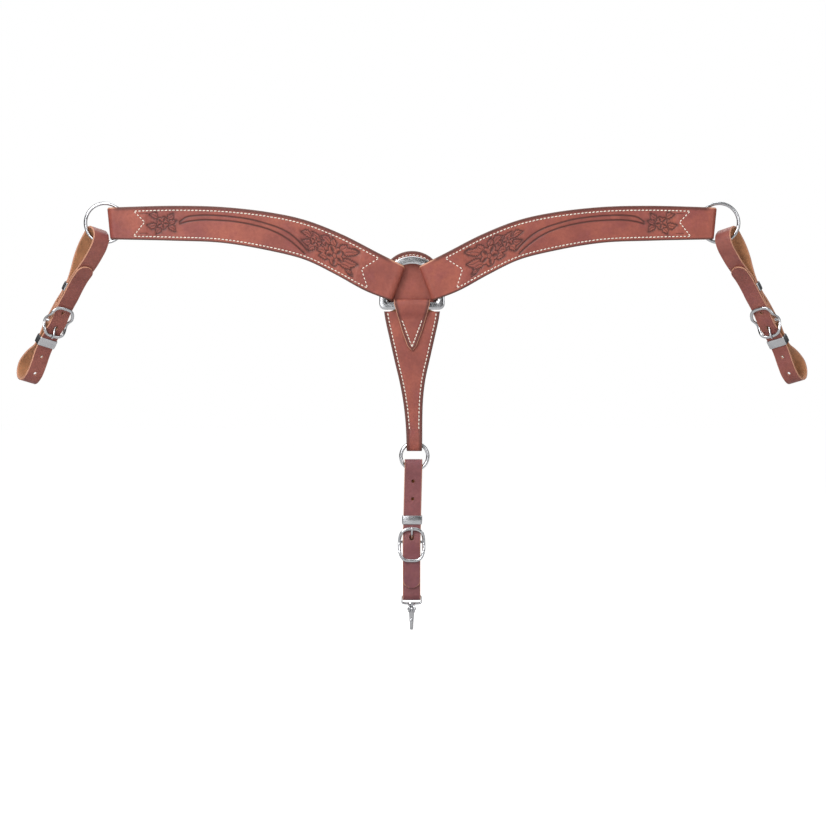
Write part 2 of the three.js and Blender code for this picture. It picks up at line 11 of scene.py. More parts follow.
import bpy
import numpy as np
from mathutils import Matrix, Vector

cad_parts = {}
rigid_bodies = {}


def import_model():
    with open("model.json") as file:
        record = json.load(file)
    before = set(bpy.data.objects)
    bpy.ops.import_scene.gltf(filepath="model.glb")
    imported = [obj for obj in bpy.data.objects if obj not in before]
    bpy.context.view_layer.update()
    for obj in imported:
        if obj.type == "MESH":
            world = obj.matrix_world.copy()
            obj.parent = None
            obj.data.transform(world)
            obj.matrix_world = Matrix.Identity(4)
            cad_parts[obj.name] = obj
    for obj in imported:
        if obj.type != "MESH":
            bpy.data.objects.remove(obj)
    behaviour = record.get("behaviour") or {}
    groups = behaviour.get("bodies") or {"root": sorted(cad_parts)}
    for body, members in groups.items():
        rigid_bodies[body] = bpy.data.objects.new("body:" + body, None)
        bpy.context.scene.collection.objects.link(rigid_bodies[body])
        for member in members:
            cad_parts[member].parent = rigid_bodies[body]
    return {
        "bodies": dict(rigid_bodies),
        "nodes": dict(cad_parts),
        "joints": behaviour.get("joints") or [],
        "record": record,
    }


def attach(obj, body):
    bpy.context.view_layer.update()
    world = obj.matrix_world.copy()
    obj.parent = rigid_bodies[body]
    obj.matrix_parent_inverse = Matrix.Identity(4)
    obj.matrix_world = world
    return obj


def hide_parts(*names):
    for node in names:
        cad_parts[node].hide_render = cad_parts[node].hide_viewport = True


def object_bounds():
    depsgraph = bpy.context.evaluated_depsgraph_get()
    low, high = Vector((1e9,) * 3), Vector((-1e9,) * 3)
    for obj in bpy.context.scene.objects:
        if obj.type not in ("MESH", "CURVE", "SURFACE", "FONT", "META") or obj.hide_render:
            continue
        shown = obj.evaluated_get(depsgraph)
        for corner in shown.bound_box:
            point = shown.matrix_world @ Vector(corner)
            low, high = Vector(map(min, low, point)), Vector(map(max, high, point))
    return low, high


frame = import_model()
CAD_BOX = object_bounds()

bl_info = {
    "name": "Leather Breastplate",
    "version": (1, 0, 0),
    "blender": (4, 5, 0),
    "location": "View3D > Sidebar > Breastplate",
    "description": "Builds a tooled western breastplate piece by piece on its CAD frame",
    "category": "Add Mesh",
}

MM = 0.001

# ---- sizes shared by the pieces, in mm ----
PLY = 3.1  # one ply of leather
SAFE_R = 44.3  # round safe
SAFE_SEAM = 38.5  # radius of its stitching
DEE_R = 46.65  # outer radius of the dee's round top
DEE_Z = -10.4  # height of that radius's centre
DEE_BAND = 11.0
DEE_THICK = 4.6
DEE_BOTTOM = -40.0
METAL_Y = -13.05  # middle plane of the dee and the two outer rings
RING_R = 27.9
WIRE = 2.5
RING_X, RING_Z = 438.6, 83.9
LOW_RING = (3.3, -9.9, -249.6)
LOW_RING_R = 19.25
STRAP_W = 25.4
DROP_PLY = PLY - 0.1
DROP_FACE = 11.3  # how far forward the middle of each layer of the drop lies
DROP_LINING = 7.9
DROP_TAB = 14.7
DROP_SEAM = 5.0  # stitching in from the drop's edge
TAB_SEAM = 14.3  # half-width of the stitched V where it starts
THREAD_PROUD, THREAD_SUNK = -5.35, -4.75  # depth of the thread on the safe's front, open and under the arms
KEEPER_SPAN = (-6.9, 5.7)  # back and front, inside a keeper that holds the billet
HOLE_R = 2.4
TIP_L = 12.5  # length of a billet's rounded tip
BUCKLE_W, BUCKLE_L = 39.5, 49.7
FRAME_W, FRAME_T, FRAME_RISE = 4.5, 3.4, 9.0
BAR_R = 2.0
BAR_TO_TIP = 21.0
KEEPER_L, KEEPER_T = 12.5, 1.0
FRONT, TURNED, BEHIND = 18.2, 7.9, 14.8  # middles of an arm's plies, forward of the chest
BAR_Z = -372.0  # centre bar of the centre strap's buckle
SNAP_X, SNAP_Y = -0.6, -9.2
SNAP_PIN = (5.8, -467.2)  # gate pivot: forward, height


# ================================================================ curves


def through(points, per=24):
    """Points on the centripetal Catmull-Rom curve through the given ones. Each span is a cubic Hermite
    whose end slopes come from its neighbours, with knots spaced by the square root of the distance."""
    p = np.asarray(points, float)
    p = np.vstack([2 * p[0] - p[1], p, 2 * p[-1] - p[-2]])
    a, b, c, d = p[:-3], p[1:-2], p[2:-1], p[3:]

    def knot(u, v):
        return np.sqrt(np.linalg.norm(v - u, axis=1))[:, None] + 1e-9

    k0, k1, k2 = knot(a, b), knot(b, c), knot(c, d)
    m1 = ((b - a) / k0 - (c - a) / (k0 + k1) + (c - b) / k1) * k1
    m2 = ((c - b) / k1 - (d - b) / (k1 + k2) + (d - c) / k2) * k1
    w = np.linspace(0, 1, per, endpoint=False)[None, :, None]
    b, c, m1, m2 = (x[:, None] for x in (b, c, m1, m2))
    span = (
        (2 * w**3 - 3 * w**2 + 1) * b
        + (w**3 - 2 * w**2 + w) * m1
        + (3 * w**2 - 2 * w**3) * c
        + (w**3 - w**2) * m2
    )
    return np.vstack([span.reshape(-1, p.shape[1]), p[-2]])


def run_of(points):
    """Length run along a polyline at each of its points: the sum of its steps so far."""
    step = np.linalg.norm(np.diff(points, axis=0), axis=1)
    return np.concatenate([[0.0], np.cumsum(step)])


def at_runs(points, runs):
    """Points of a polyline at the given lengths along it, by straight interpolation."""
    have = run_of(points)
    return np.stack([np.interp(runs, have, points[:, k]) for k in range(points.shape[1])], 1)


def evenly(points, step):
    """A polyline read again at equal steps of about the given length."""
    total = run_of(points)[-1]
    return at_runs(points, np.linspace(0, total, max(2, int(round(total / step)) + 1)))


def slopes(points):
    """Unit direction of a polyline at each point, from its two neighbours."""
    d = np.gradient(points, axis=0)
    return d / np.linalg.norm(d, axis=1, keepdims=True)


def ease(x):
    """Smooth step: 3x^2 - 2x^3 with x held between 0 and 1."""
    x = np.clip(x, 0, 1)
    return x * x * (3 - 2 * x)


def power(x, n):
    """|x|^n with the sign of x, which squares off a circle's sine or cosine."""
    return np.sign(x) * np.abs(x) ** n


def gap_to_line(x, z, line):
    """Distance from each (x, z) to the nearest of a polyline's segments."""
    best = np.full(np.shape(x), 1e9)
    for (ax, az), (bx, bz) in zip(line[:-1], line[1:]):
        ux, uz = bx - ax, bz - az
        k = np.clip(((x - ax) * ux + (z - az) * uz) / (ux * ux + uz * uz + 1e-12), 0, 1)
        best = np.minimum(best, np.hypot(x - ax - k * ux, z - az - k * uz))
    return best


# ================================================================ meshes


def new_piece(name, verts, quads, caps, finishes, which=None, uv=None, marks=None):
    """A mesh object in metres from points in mm, quads and end caps. which is each face's finish, uv each
    corner's place on the surface and marks the named numbers kept at each point. A shell whose signed
    volume is negative is turned to face out."""
    verts = np.asarray(verts, float) * MM
    quads = np.asarray(quads, np.int64).reshape(-1, 4)
    caps = [np.asarray(c, np.int64) for c in caps]
    tri = np.vstack([quads[:, [0, 1, 2]], quads[:, [0, 2, 3]]])
    a, b, c = (verts[tri[:, k]] for k in range(3))
    volume = np.einsum("ij,ij->i", a, np.cross(b, c)).sum()
    for cap in caps:
        o, e = verts[cap[0]], verts[cap]
        volume += np.einsum("j,ij->i", o, np.cross(e[1:-1], e[2:])).sum()
    flip = volume < 0
    if flip:
        quads = quads[:, ::-1]
        caps = [c[::-1] for c in caps]
    sizes = np.array([4] * len(quads) + [len(c) for c in caps], np.int32)
    loops = np.concatenate([quads.ravel(), *caps]).astype(np.int32)
    starts = np.concatenate([[0], np.cumsum(sizes)[:-1]]).astype(np.int32)
    mesh = bpy.data.meshes.new(name)
    mesh.vertices.add(len(verts))
    mesh.vertices.foreach_set("co", verts.astype(np.float32).ravel())
    mesh.loops.add(len(loops))
    mesh.loops.foreach_set("vertex_index", loops)
    mesh.polygons.add(len(sizes))
    mesh.polygons.foreach_set("loop_start", starts)
    for finish in finishes:
        mesh.materials.append(finish)
    if which is not None:
        whole = np.concatenate([which, np.full(len(caps), min(1, len(finishes) - 1))])
        mesh.polygons.foreach_set("material_index", whole.astype(np.int32))
    mesh.polygons.foreach_set("use_smooth", np.ones(len(sizes), bool))
    if uv is not None:
        corner = np.asarray(uv, float).reshape(-1, 4, 2)
        if flip:
            corner = corner[:, ::-1]
        flat = np.zeros((len(loops), 2), np.float32)
        flat[: len(quads) * 4] = corner.reshape(-1, 2) * MM
        mesh.uv_layers.new(name="surface").data.foreach_set("uv", flat.ravel())
    for key, values in (marks or {}).items():
        mark = mesh.attributes.new(key, "FLOAT", "POINT")
        mark.data.foreach_set("value", np.asarray(values, np.float32).ravel())
    mesh.update(calc_edges=True)
    mesh.validate()
    piece = bpy.data.objects.new(name, mesh)
    bpy.context.scene.collection.objects.link(piece)
    return piece


def shell(grid, closed=False):
    """Quads and end caps of a grid of section loops: rows run along the piece, columns go round it.
    A closed shell joins its last row to its first and has no caps."""
    rows, cols = grid.shape[:2]
    i = np.arange(rows if closed else rows - 1)[:, None]
    k = np.arange(cols)[None, :]
    j, l = (i + 1) % rows, (k + 1) % cols
    quads = np.stack([i * cols + k, i * cols + l, j * cols + l, j * cols + k], -1)
    if closed:
        return quads.reshape(-1, 4), []
    last = (rows - 1) * cols
    return quads.reshape(-1, 4), [np.arange(cols)[::-1], last + np.arange(cols)]


def solid(grid, closed=False):
    """The points, quads and caps of a grid of section loops."""
    return (grid.reshape(-1, 3), *shell(grid, closed))


def circle(count):
    """Angles evenly spaced once round."""
    return np.linspace(0, 2 * math.pi, count, endpoint=False)


def headings(loop):
    """Unit directions along a closed line."""
    way = np.roll(loop, -1, 0) - np.roll(loop, 1, 0)
    return way / np.linalg.norm(way, axis=1, keepdims=True)


def surface_uv(along, round_):
    """Corner coordinates for the quads of a shell: the length run along it, and the length round it."""
    u, v = np.meshgrid(along, round_, indexing="ij")
    g = np.stack([u, v], -1)
    return np.stack([g[:-1, :-1], g[:-1, 1:], g[1:, 1:], g[1:, :-1]], -2)


def merge(parts):
    """One set of points, quads and caps from several (points, quads, caps)."""
    verts, quads, caps, n = [], [], [], 0
    for p, q, c in parts:
        p = np.asarray(p, float).reshape(-1, 3)
        verts.append(p)
        quads.append(q + n)
        caps += [x + n for x in c]
        n += len(p)
    return np.vstack(verts), np.vstack(quads), caps


def settle(piece, body, slot, *nodes):
    """Ties a finished piece to its CAD body and hides the CAD nodes it stands for; slot, the name of its
    material slot, is not used.
    """
    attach(piece, body)
    if nodes:
        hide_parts(*nodes)
    return piece


def metal_piece(name, made, body, cad):
    """A steel piece from its points, quads and caps."""
    settle(new_piece(name, *made, finishes("stainless")), body, "hardware", cad)


def punch(piece, cutters, finish):
    """Cuts closed tools (points, quads, caps in mm) out of a piece; the walls take the given finish."""
    for k, (p, q, c) in enumerate(cutters):
        tool = new_piece(f"{piece.name}_punch", p, q, c, [finish])
        bpy.context.view_layer.objects.active = piece
        cut = piece.modifiers.new(f"punch_{k}", "BOOLEAN")
        cut.operation, cut.object, cut.solver = "DIFFERENCE", tool, "EXACT"
        cut.material_mode = "TRANSFER"
        bpy.ops.object.modifier_apply(modifier=cut.name)
        mesh = tool.data
        bpy.data.objects.remove(tool)
        bpy.data.meshes.remove(mesh)


# ================================================================ straps


def strap_section(across, back, bend=5):
    """One turn round a strap's section: the grain side, a rounded edge, the flesh side, a rounded edge.
    Returns the share of the flat half-width, the share of the edge's rounding, the share of the half
    thickness and the finish (0 grain, 1 edge, 2 flesh) of the face that starts there."""
    a = np.linspace(-1, 1, across)
    b = np.linspace(1, -1, back)
    w = np.linspace(0.5, -0.5, bend + 2)[1:-1] * math.pi
    flat = np.concatenate([a, np.ones(bend), b, -np.ones(bend)])
    edge = np.concatenate([0 * a, np.cos(w), 0 * b, -np.cos(w)])
    deep = np.concatenate([0 * a + 1, np.sin(w), 0 * b - 1, -np.sin(w)])
    face = np.concatenate(
        [np.zeros(across - 1), np.ones(bend + 1), np.full(back - 1, 2), np.ones(bend + 1)]
    )
    return flat, edge, deep, face


def strap(
    name, carry, line, half, finishes, thick=PLY, grain=-1, across=20, back=10, rim=1.1, scale=1.0,
    relief=None, low_rim=1.0, raw=0.0
):
    """A strap carried along a line in the (q, d) plane of carry(t, q, d). At each station the section is
    laid across t and along the line's normal; grain says which side of the line is the grain side. half
    is the half-width in units of t, scale the mm in one such unit, and relief(points, run, across)
    gives the height and the depth of carving on the grain side. low_rim above 1 narrows the dark band
    along the lower edge, and raw, from 0 to 1 at each station, leaves the upper rim undyed."""
    n = len(line)
    half = np.broadcast_to(half, n).astype(float)[:, None]
    scale = np.broadcast_to(scale, n).astype(float)[:, None]
    run = run_of(line)
    slope = slopes(line)
    normal = np.stack([-slope[:, 1], slope[:, 0]], 1) * grain
    flat, edge, deep, face = strap_section(across, back)
    round_off = np.minimum(rim / scale, half * 0.6)
    t = flat * (half - round_off) + edge * round_off
    e = deep * thick / 2 * np.ones((n, 1))
    carve = np.zeros_like(t)

    def place(through):
        q = line[:, :1] + normal[:, :1] * through
        d = line[:, 1:] + normal[:, 1:] * through
        return carry(t, q, d)

    if relief is not None:
        height, cut = relief(place(e)[:, :across], run[:, None], (t * scale)[:, :across])
        e[:, :across] += height
        carve[:, :across] = cut
    grid = place(e)
    rim_gap = (half - np.abs(t)) * scale * np.where(t < 0, low_rim, 1.0)
    raw = np.broadcast_to(raw, n)[:, None] * np.ones_like(t)
    quads, caps = shell(grid)
    which = np.tile(face, n - 1)
    around = np.concatenate([[0], run_of(grid[n // 2])[1:], [run_of(grid[n // 2])[-1] + 0.8]])
    return new_piece(
        name,
        grid.reshape(-1, 3),
        quads,
        caps,
        finishes,
        which,
        surface_uv(run, around),
        {"rim": rim_gap.ravel(), "carve": carve.ravel(), "raw": (raw * (t > 0)).ravel()},
    )


def rod(carry, a, b, r, sides=24):
    """A closed round tool or bar from a to b, both in carry's (t, q, d), with radius r in that frame."""
    a, b = np.asarray(a, float), np.asarray(b, float)
    axis = (b - a) / np.linalg.norm(b - a)
    side = np.cross(axis, [0.0, 0.0, 1.0] if abs(axis[2]) < 0.9 else [1.0, 0.0, 0.0])
    side /= np.linalg.norm(side)
    up = np.cross(axis, side)
    w = circle(sides)[None, :, None]
    ends = np.stack([a, b])[:, None]
    g = ends + r * (np.cos(w) * side + np.sin(w) * up)
    g = carry(g[..., 0], g[..., 1], g[..., 2])
    return solid(g)


def drawn_in(n, stations=5, start=True, end=True):
    """Factors that round off the ends of a bar: a quarter circle over the first and last stations."""
    k = np.ones(n)
    w = np.sqrt(1 - (1 - np.arange(1, stations + 1) / (stations + 1.0)) ** 2)
    if start:
        k[:stations] = w
    if end:
        k[-stations:] = w[::-1]
    return k


# ================================================================ frames of the straps


ARM_UPPER = [
    (9.4, 21.2), (48.6, 41), (100, 67.3), (152, 87.6),
    (203, 98.7), (271, 106.3), (340, 108), (435.5, 105.5),
]
ARM_LOWER = [
    (28.5, -28), (66, -13.7), (110, 10.3), (152, 30.5),
    (203, 43.7), (271, 55), (340, 58), (431, 60),
]
UPPER = through(ARM_UPPER, 60)
LOWER = through(ARM_LOWER, 60)
ARM_RUN = run_of((UPPER + LOWER) / 2)
ARM_LENGTH = ARM_RUN[-1]


def arm_edges(q):
    """Upper and lower edge points of an arm at the length q along its middle."""
    u = np.stack([np.interp(q, ARM_RUN, UPPER[:, k]) for k in range(2)], -1)
    l = np.stack([np.interp(q, ARM_RUN, LOWER[:, k]) for k in range(2)], -1)
    return u, l


def arm_carry(side):
    """Frame of an arm: t from -1 at its lower edge to 1 at its upper, q along it, d forward of the chest."""

    def carry(t, q, d):
        t, q, d = np.broadcast_arrays(t, q, d)
        u, l = arm_edges(q)
        p = l + (u - l) * ((t + 1) / 2)[..., None]
        return np.stack([side * p[..., 0], -d, p[..., 1]], -1)

    return carry


DROP_EDGE = through(
    [(-242, 11), (-198, 12.2), (-169, 14.4), (-141, 18.6), (-112, 25.2), (-83, 31.8), (-55, 38), (-42.5, 40)]
)


def drop_half(z):
    """Half-width of the drop at a height."""
    return np.interp(z, DROP_EDGE[:, 0], DROP_EDGE[:, 1])


def drop_carry(t, q, d):
    """Frame of the drop, which drifts towards +X at its foot by a smooth step."""
    t, q, d = np.broadcast_arrays(t, q, d)
    return np.stack([t + LOW_RING[0] * ease((-q - 120) / 110), -d, q], -1)


def unit(v):
    """A vector divided by its length."""
    return np.asarray(v, float) / np.linalg.norm(v)


TUG_OUT = 12.5  # how far outside the ring's lowest point the tug hangs
TUG_BAR = 136.5  # from the ring wire to the buckle's centre bar
TUG_ACROSS = unit((0.79, -0.56, 0.25))
TUG_DOWN = np.array((0.402, 0.306, -0.863))
TUG_DOWN = unit(TUG_DOWN - TUG_DOWN @ TUG_ACROSS * TUG_ACROSS)
TUG_BACK = np.cross(TUG_ACROSS, TUG_DOWN)
TUG_AT = np.array((RING_X + TUG_OUT, METAL_Y, RING_Z - math.sqrt(RING_R**2 - TUG_OUT**2)))


def tug_carry(side):
    """Frame of a tug: t across it to its outer rim, q down it from the buckle's bar, d in front of it."""

    def carry(t, q, d):
        t, q, d = (np.asarray(x, float)[..., None] for x in np.broadcast_arrays(t, q, d))
        p = TUG_AT + t * TUG_ACROSS + (q + TUG_BAR) * TUG_DOWN - d * TUG_BACK
        return p * np.array((side, 1.0, 1.0))

    return carry


def centre_carry(t, q, d):
    """Frame of the centre strap: it leans from the snap to the lower ring, straight above the buckle."""
    t, q, d = np.broadcast_arrays(t, q, d)
    lean = SNAP_X + (LOW_RING[0] - SNAP_X - 1.2) * np.clip(q / 110, 0, 1)
    return np.stack([t + lean, -10.4 - d, BAR_Z + q], -1)


# ================================================================ finishes


def fill(tree, made, values):
    """Sets a node's inputs, by name or number, to constants or other nodes' outputs."""
    for key, value in values.items():
        if isinstance(value, bpy.types.NodeSocket):
            tree.links.new(value, made.inputs[key])
        else:
            made.inputs[key].default_value = value
    return made


def node(tree, kind, values=None, **settings):
    """Adds a shader node with its inputs and its settings."""
    made = tree.nodes.new("ShaderNode" + kind)
    for key, value in settings.items():
        setattr(made, key, value)
    return fill(tree, made, values or {})


def start_finish(name):
    """An empty material with a surface shader and its object coordinates, in metres."""
    finish = bpy.data.materials.new(name)
    finish.use_nodes = True
    tree = finish.node_tree
    tree.nodes.clear()
    shader = node(tree, "BsdfPrincipled")
    out = node(tree, "OutputMaterial", {"Surface": shader.outputs[0]})
    out.location = (300, 0)
    place = node(tree, "TexCoord").outputs["Object"]
    return finish, tree, shader, place


def rgba(colour):
    """A panel colour with an alpha of one."""
    return tuple(colour) + (1.0,)


def tint(colour, amount):
    """A colour times a number, with its alpha kept."""
    return tuple(c * amount for c in colour[:3]) + (1.0,)


def noise(tree, place, scale, detail=3.0, rough=0.55):
    """Layered noise at a scale: a number from 0 to 1 at each place."""
    return node(
        tree, "TexNoise", {"Vector": place, "Scale": scale, "Detail": detail, "Roughness": rough}
    ).outputs["Fac"]


def between(tree, value, low, high, to_low=0.0, to_high=1.0):
    """A number moved from one range to another and held there."""
    return node(tree, "MapRange", {0: value, 1: low, 2: high, 3: to_low, 4: to_high}).outputs[0]


def blend_colour(tree, fac, a, b):
    """Colour a taken towards colour b by the share fac."""
    return node(tree, "Mix", data_type="RGBA", blend_type="MIX", values={0: fac, 6: a, 7: b}).outputs[2]


def mark(tree, name):
    """A number kept at each point of the piece."""
    return node(tree, "Attribute", attribute_name=name).outputs["Fac"]


def grain_finish(name, colour, warm, pore=1500.0, gloss=0.44, dark_rim=True):
    """Oiled grain leather: slow clouds of a warmer and of a wine-red tone, finer mottling, a cell grain with
    pores, dark antique stain with painted shade in the carving, heavier where it is cut deeper, darker dye
    along the rims, and a soft uneven polish."""
    finish, tree, shader, place = start_finish(name)
    clouds = between(tree, noise(tree, place, 22.0, 3.0), 0.36, 0.66)
    mottle = between(tree, noise(tree, place, 210.0, 5.0, 0.65), 0.3, 0.72)
    cells = node(tree, "TexVoronoi", {"Vector": place, "Scale": pore}, feature="DISTANCE_TO_EDGE")
    crease = between(tree, cells.outputs["Distance"], 0.0, 0.12)
    fine = noise(tree, place, 3800.0, 2.0)
    scuffs = between(tree, noise(tree, place, 75.0, 6.0, 0.7), 0.58, 0.74)
    tone = blend_colour(tree, clouds, colour, warm)
    wine = between(tree, noise(tree, place, 34.0, 4.0, 0.6), 0.5, 0.68, 0.0, 0.5)
    tone = blend_colour(tree, wine, tone, (colour[0] * 0.95, colour[1] * 0.92, colour[2] * 1.35, 1))
    tone = blend_colour(tree, between(tree, mottle, 0, 1, 0.0, 0.42), tone, tint(colour, 0.62))
    tone = blend_colour(tree, between(tree, scuffs, 0, 1, 0.0, 0.28), tone, tint(warm, 1.35))
    tone = blend_colour(tree, between(tree, crease, 0, 1, 0.2, 0.0), tone, tint(colour, 0.4))
    # the carve mark is the depth of each cut, groove and crease: the tone darkens with it, as antique stain
    # and as painted shade
    tone = blend_colour(
        tree, between(tree, mark(tree, "carve"), 0.12, 0.62, 0.0, 0.9), tone, tint(colour, 0.24)
    )
    if dark_rim:
        rim = between(tree, mark(tree, "rim"), 3.0, 6.2, 0.86, 0.0)
        dyed = node(tree, "Math", {0: 1.0, 1: mark(tree, "raw")}, operation="SUBTRACT").outputs[0]
        rim = node(tree, "Math", {0: rim, 1: dyed}, operation="MULTIPLY").outputs[0]
        tone = blend_colour(tree, rim, tone, tint(colour, 0.34))
    bare = between(tree, mark(tree, "rim"), 1.3, 2.6, 1.0, 0.0)
    bare = node(tree, "Math", {0: bare, 1: mark(tree, "raw")}, operation="MULTIPLY").outputs[0]
    undyed = rgba(bpy.context.scene.breastplate_leather.cut_colour)
    tone = blend_colour(tree, bare, tone, undyed)
    rough = between(tree, mottle, 0, 1, gloss - 0.05, gloss + 0.14)
    relief = node(tree, "Math", {0: crease, 1: fine}, operation="ADD").outputs[0]
    fine_bump = node(tree, "Bump", {"Strength": 0.32, "Distance": 0.00012, "Height": relief})
    wave = node(
        tree, "Bump", {
            "Strength": 0.3, "Distance": 0.0009, "Height": noise(tree, place, 120.0, 2.0),
            "Normal": fine_bump.outputs[0]
        }
    )
    fill(
        tree, shader,
        {
            "Base Color": tone, "Roughness": rough, "Normal": wave.outputs[0], "Specular IOR Level": 0.36,
            "Coat Weight": 0.08, "Coat Roughness": 0.3
        }
    )
    return finish


def flesh_finish(name, colour):
    """The flesh side: a napped surface of short fibres, with a little sheen and no polish."""
    finish, tree, shader, place = start_finish(name)
    long = node(tree, "Mapping", {"Vector": place, "Scale": (1.0, 1.0, 0.35), "Rotation": (0.3, 0.5, 0.2)})
    fibre = noise(tree, long.outputs[0], 1500.0, 6.0, 0.75)
    patch = between(tree, noise(tree, place, 60.0, 5.0, 0.65), 0.32, 0.7)
    tone = blend_colour(tree, patch, tint(colour, 0.78), tint(colour, 1.18))
    tone = blend_colour(tree, between(tree, fibre, 0.35, 0.65, 0.5, 0.0), tone, tint(colour, 0.45))
    bump = node(tree, "Bump", {"Strength": 0.7, "Distance": 0.00035, "Height": fibre})
    fill(
        tree, shader,
        {
            "Base Color": tone, "Normal": bump.outputs[0], "Roughness": 0.88, "Sheen Weight": 0.25,
            "Specular IOR Level": 0.25
        }
    )
    return finish


def edge_finish(name, colour, rough):
    """A cut edge: packed fibre in thin layers along the strap, rubbed smoother where it is burnished."""
    finish, tree, shader, place = start_finish(name)
    layers = node(tree, "UVMap", uv_map="surface").outputs[0]
    thin = node(tree, "Mapping", {"Vector": layers, "Scale": (0.12, 1.0, 1.0)}).outputs[0]
    band = noise(tree, thin, 2600.0, 4.0, 0.7)
    fibre = noise(tree, place, 900.0, 5.0, 0.7)
    tone = blend_colour(tree, between(tree, fibre, 0.3, 0.7), tint(colour, 0.7), tint(colour, 1.15))
    undyed = rgba(bpy.context.scene.breastplate_leather.cut_colour)
    tone = blend_colour(tree, mark(tree, "raw"), tone, undyed)
    tone = blend_colour(tree, between(tree, band, 0.35, 0.65, 0.4, 0.0), tone, tint(colour, 0.5))
    bump = node(tree, "Bump", {"Strength": 0.45, "Distance": 0.0002, "Height": band})
    fill(tree, shader, {"Base Color": tone, "Normal": bump.outputs[0], "Roughness": rough})
    return finish


def thread_finish(name, colour):
    """Waxed sewing thread: the strands' twist as slanting ridges, slightly soiled at random, and painted
    shade in the grooves of the twist.
    """
    finish, tree, shader, place = start_finish(name)
    lay = node(tree, "UVMap", uv_map="surface").outputs[0]
    twist = node(
        tree, "TexWave", {"Vector": lay, "Scale": 420.0, "Distortion": 0.4, "Detail": 1.0},
        wave_type="BANDS", bands_direction="DIAGONAL",
    ).outputs["Fac"]
    soil = between(tree, noise(tree, place, 160.0, 3.0), 0.35, 0.75, 0.0, 0.35)
    tone = blend_colour(tree, soil, colour, tint(colour, 0.72))
    # painted shade: the thread is darkened in the grooves between its twisted strands
    tone = blend_colour(tree, between(tree, twist, 0.0, 0.45, 0.3, 0.0), tone, tint(colour, 0.55))
    bump = node(tree, "Bump", {"Strength": 0.55, "Distance": 0.00022, "Height": twist})
    fill(
        tree, shader, {"Base Color": tone, "Normal": bump.outputs[0], "Roughness": 0.62, "Sheen Weight": 0.15}
    )
    return finish


def steel_finish(name, colour, rough):
    """Polished stainless: faint smears in the polish, fine scratches, and a very slight ripple."""
    finish, tree, shader, place = start_finish(name)
    smear = between(tree, noise(tree, place, 130.0, 5.0, 0.6), 0.3, 0.75)
    stretched = node(
        tree, "Mapping", {"Vector": place, "Scale": (1.0, 1.0, 0.06), "Rotation": (0.4, 0.9, 0.3)}
    )
    scratch = noise(tree, stretched.outputs[0], 4200.0, 3.0)
    tone = blend_colour(tree, smear, colour, tint(colour, 0.8))
    bump = node(tree, "Bump", {"Strength": 0.04, "Distance": 0.00002, "Height": scratch})
    ripple = node(
        tree, "Bump", {
            "Strength": 0.05, "Distance": 0.0006, "Height": noise(tree, place, 90.0, 1.0),
            "Normal": bump.outputs[0]
        }
    )
    fill(
        tree, shader,
        {
            "Base Color": tone, "Roughness": between(tree, smear, 0, 1, rough, rough + 0.13),
            "Normal": ripple.outputs[0], "Metallic": 1.0
        }
    )
    return finish


def finish_named(name):
    """A finish of this object, made from the panel's colours the first time it is asked for."""
    if name in bpy.data.materials:
        return bpy.data.materials[name]
    leather = bpy.context.scene.breastplate_leather
    metal = bpy.context.scene.breastplate_metal
    thread = bpy.context.scene.breastplate_thread
    makers = {
        "arm_grain": lambda: grain_finish(name, rgba(leather.arm_colour), rgba(leather.arm_warm)),
        "tug_grain": lambda: grain_finish(
            name, rgba(leather.tug_colour), rgba(leather.tug_warm), gloss=0.4, dark_rim=False
        ),
        "centre_grain": lambda: grain_finish(
            name, rgba(leather.centre_colour), rgba(leather.centre_warm), gloss=0.36, dark_rim=False
        ),
        "lining_grain": lambda: grain_finish(
            name, rgba(leather.lining_colour), tint(leather.lining_colour, 1.2), pore=1100.0, gloss=0.52
        ),
        "flesh_side": lambda: flesh_finish(name, rgba(leather.flesh_colour)),
        "burnished_edge": lambda: edge_finish(name, rgba(leather.burnished_colour), 0.45),
        "cut_edge": lambda: edge_finish(name, rgba(leather.cut_colour), 0.7),
        "thread": lambda: thread_finish(name, rgba(thread.colour)),
        "stainless": lambda: steel_finish(name, rgba(metal.colour), metal.roughness),
    }
    return makers[name]()


def finishes(*names):
    """The named finishes, in that order."""
    return [finish_named(n) for n in names]


# ================================================================ stitching


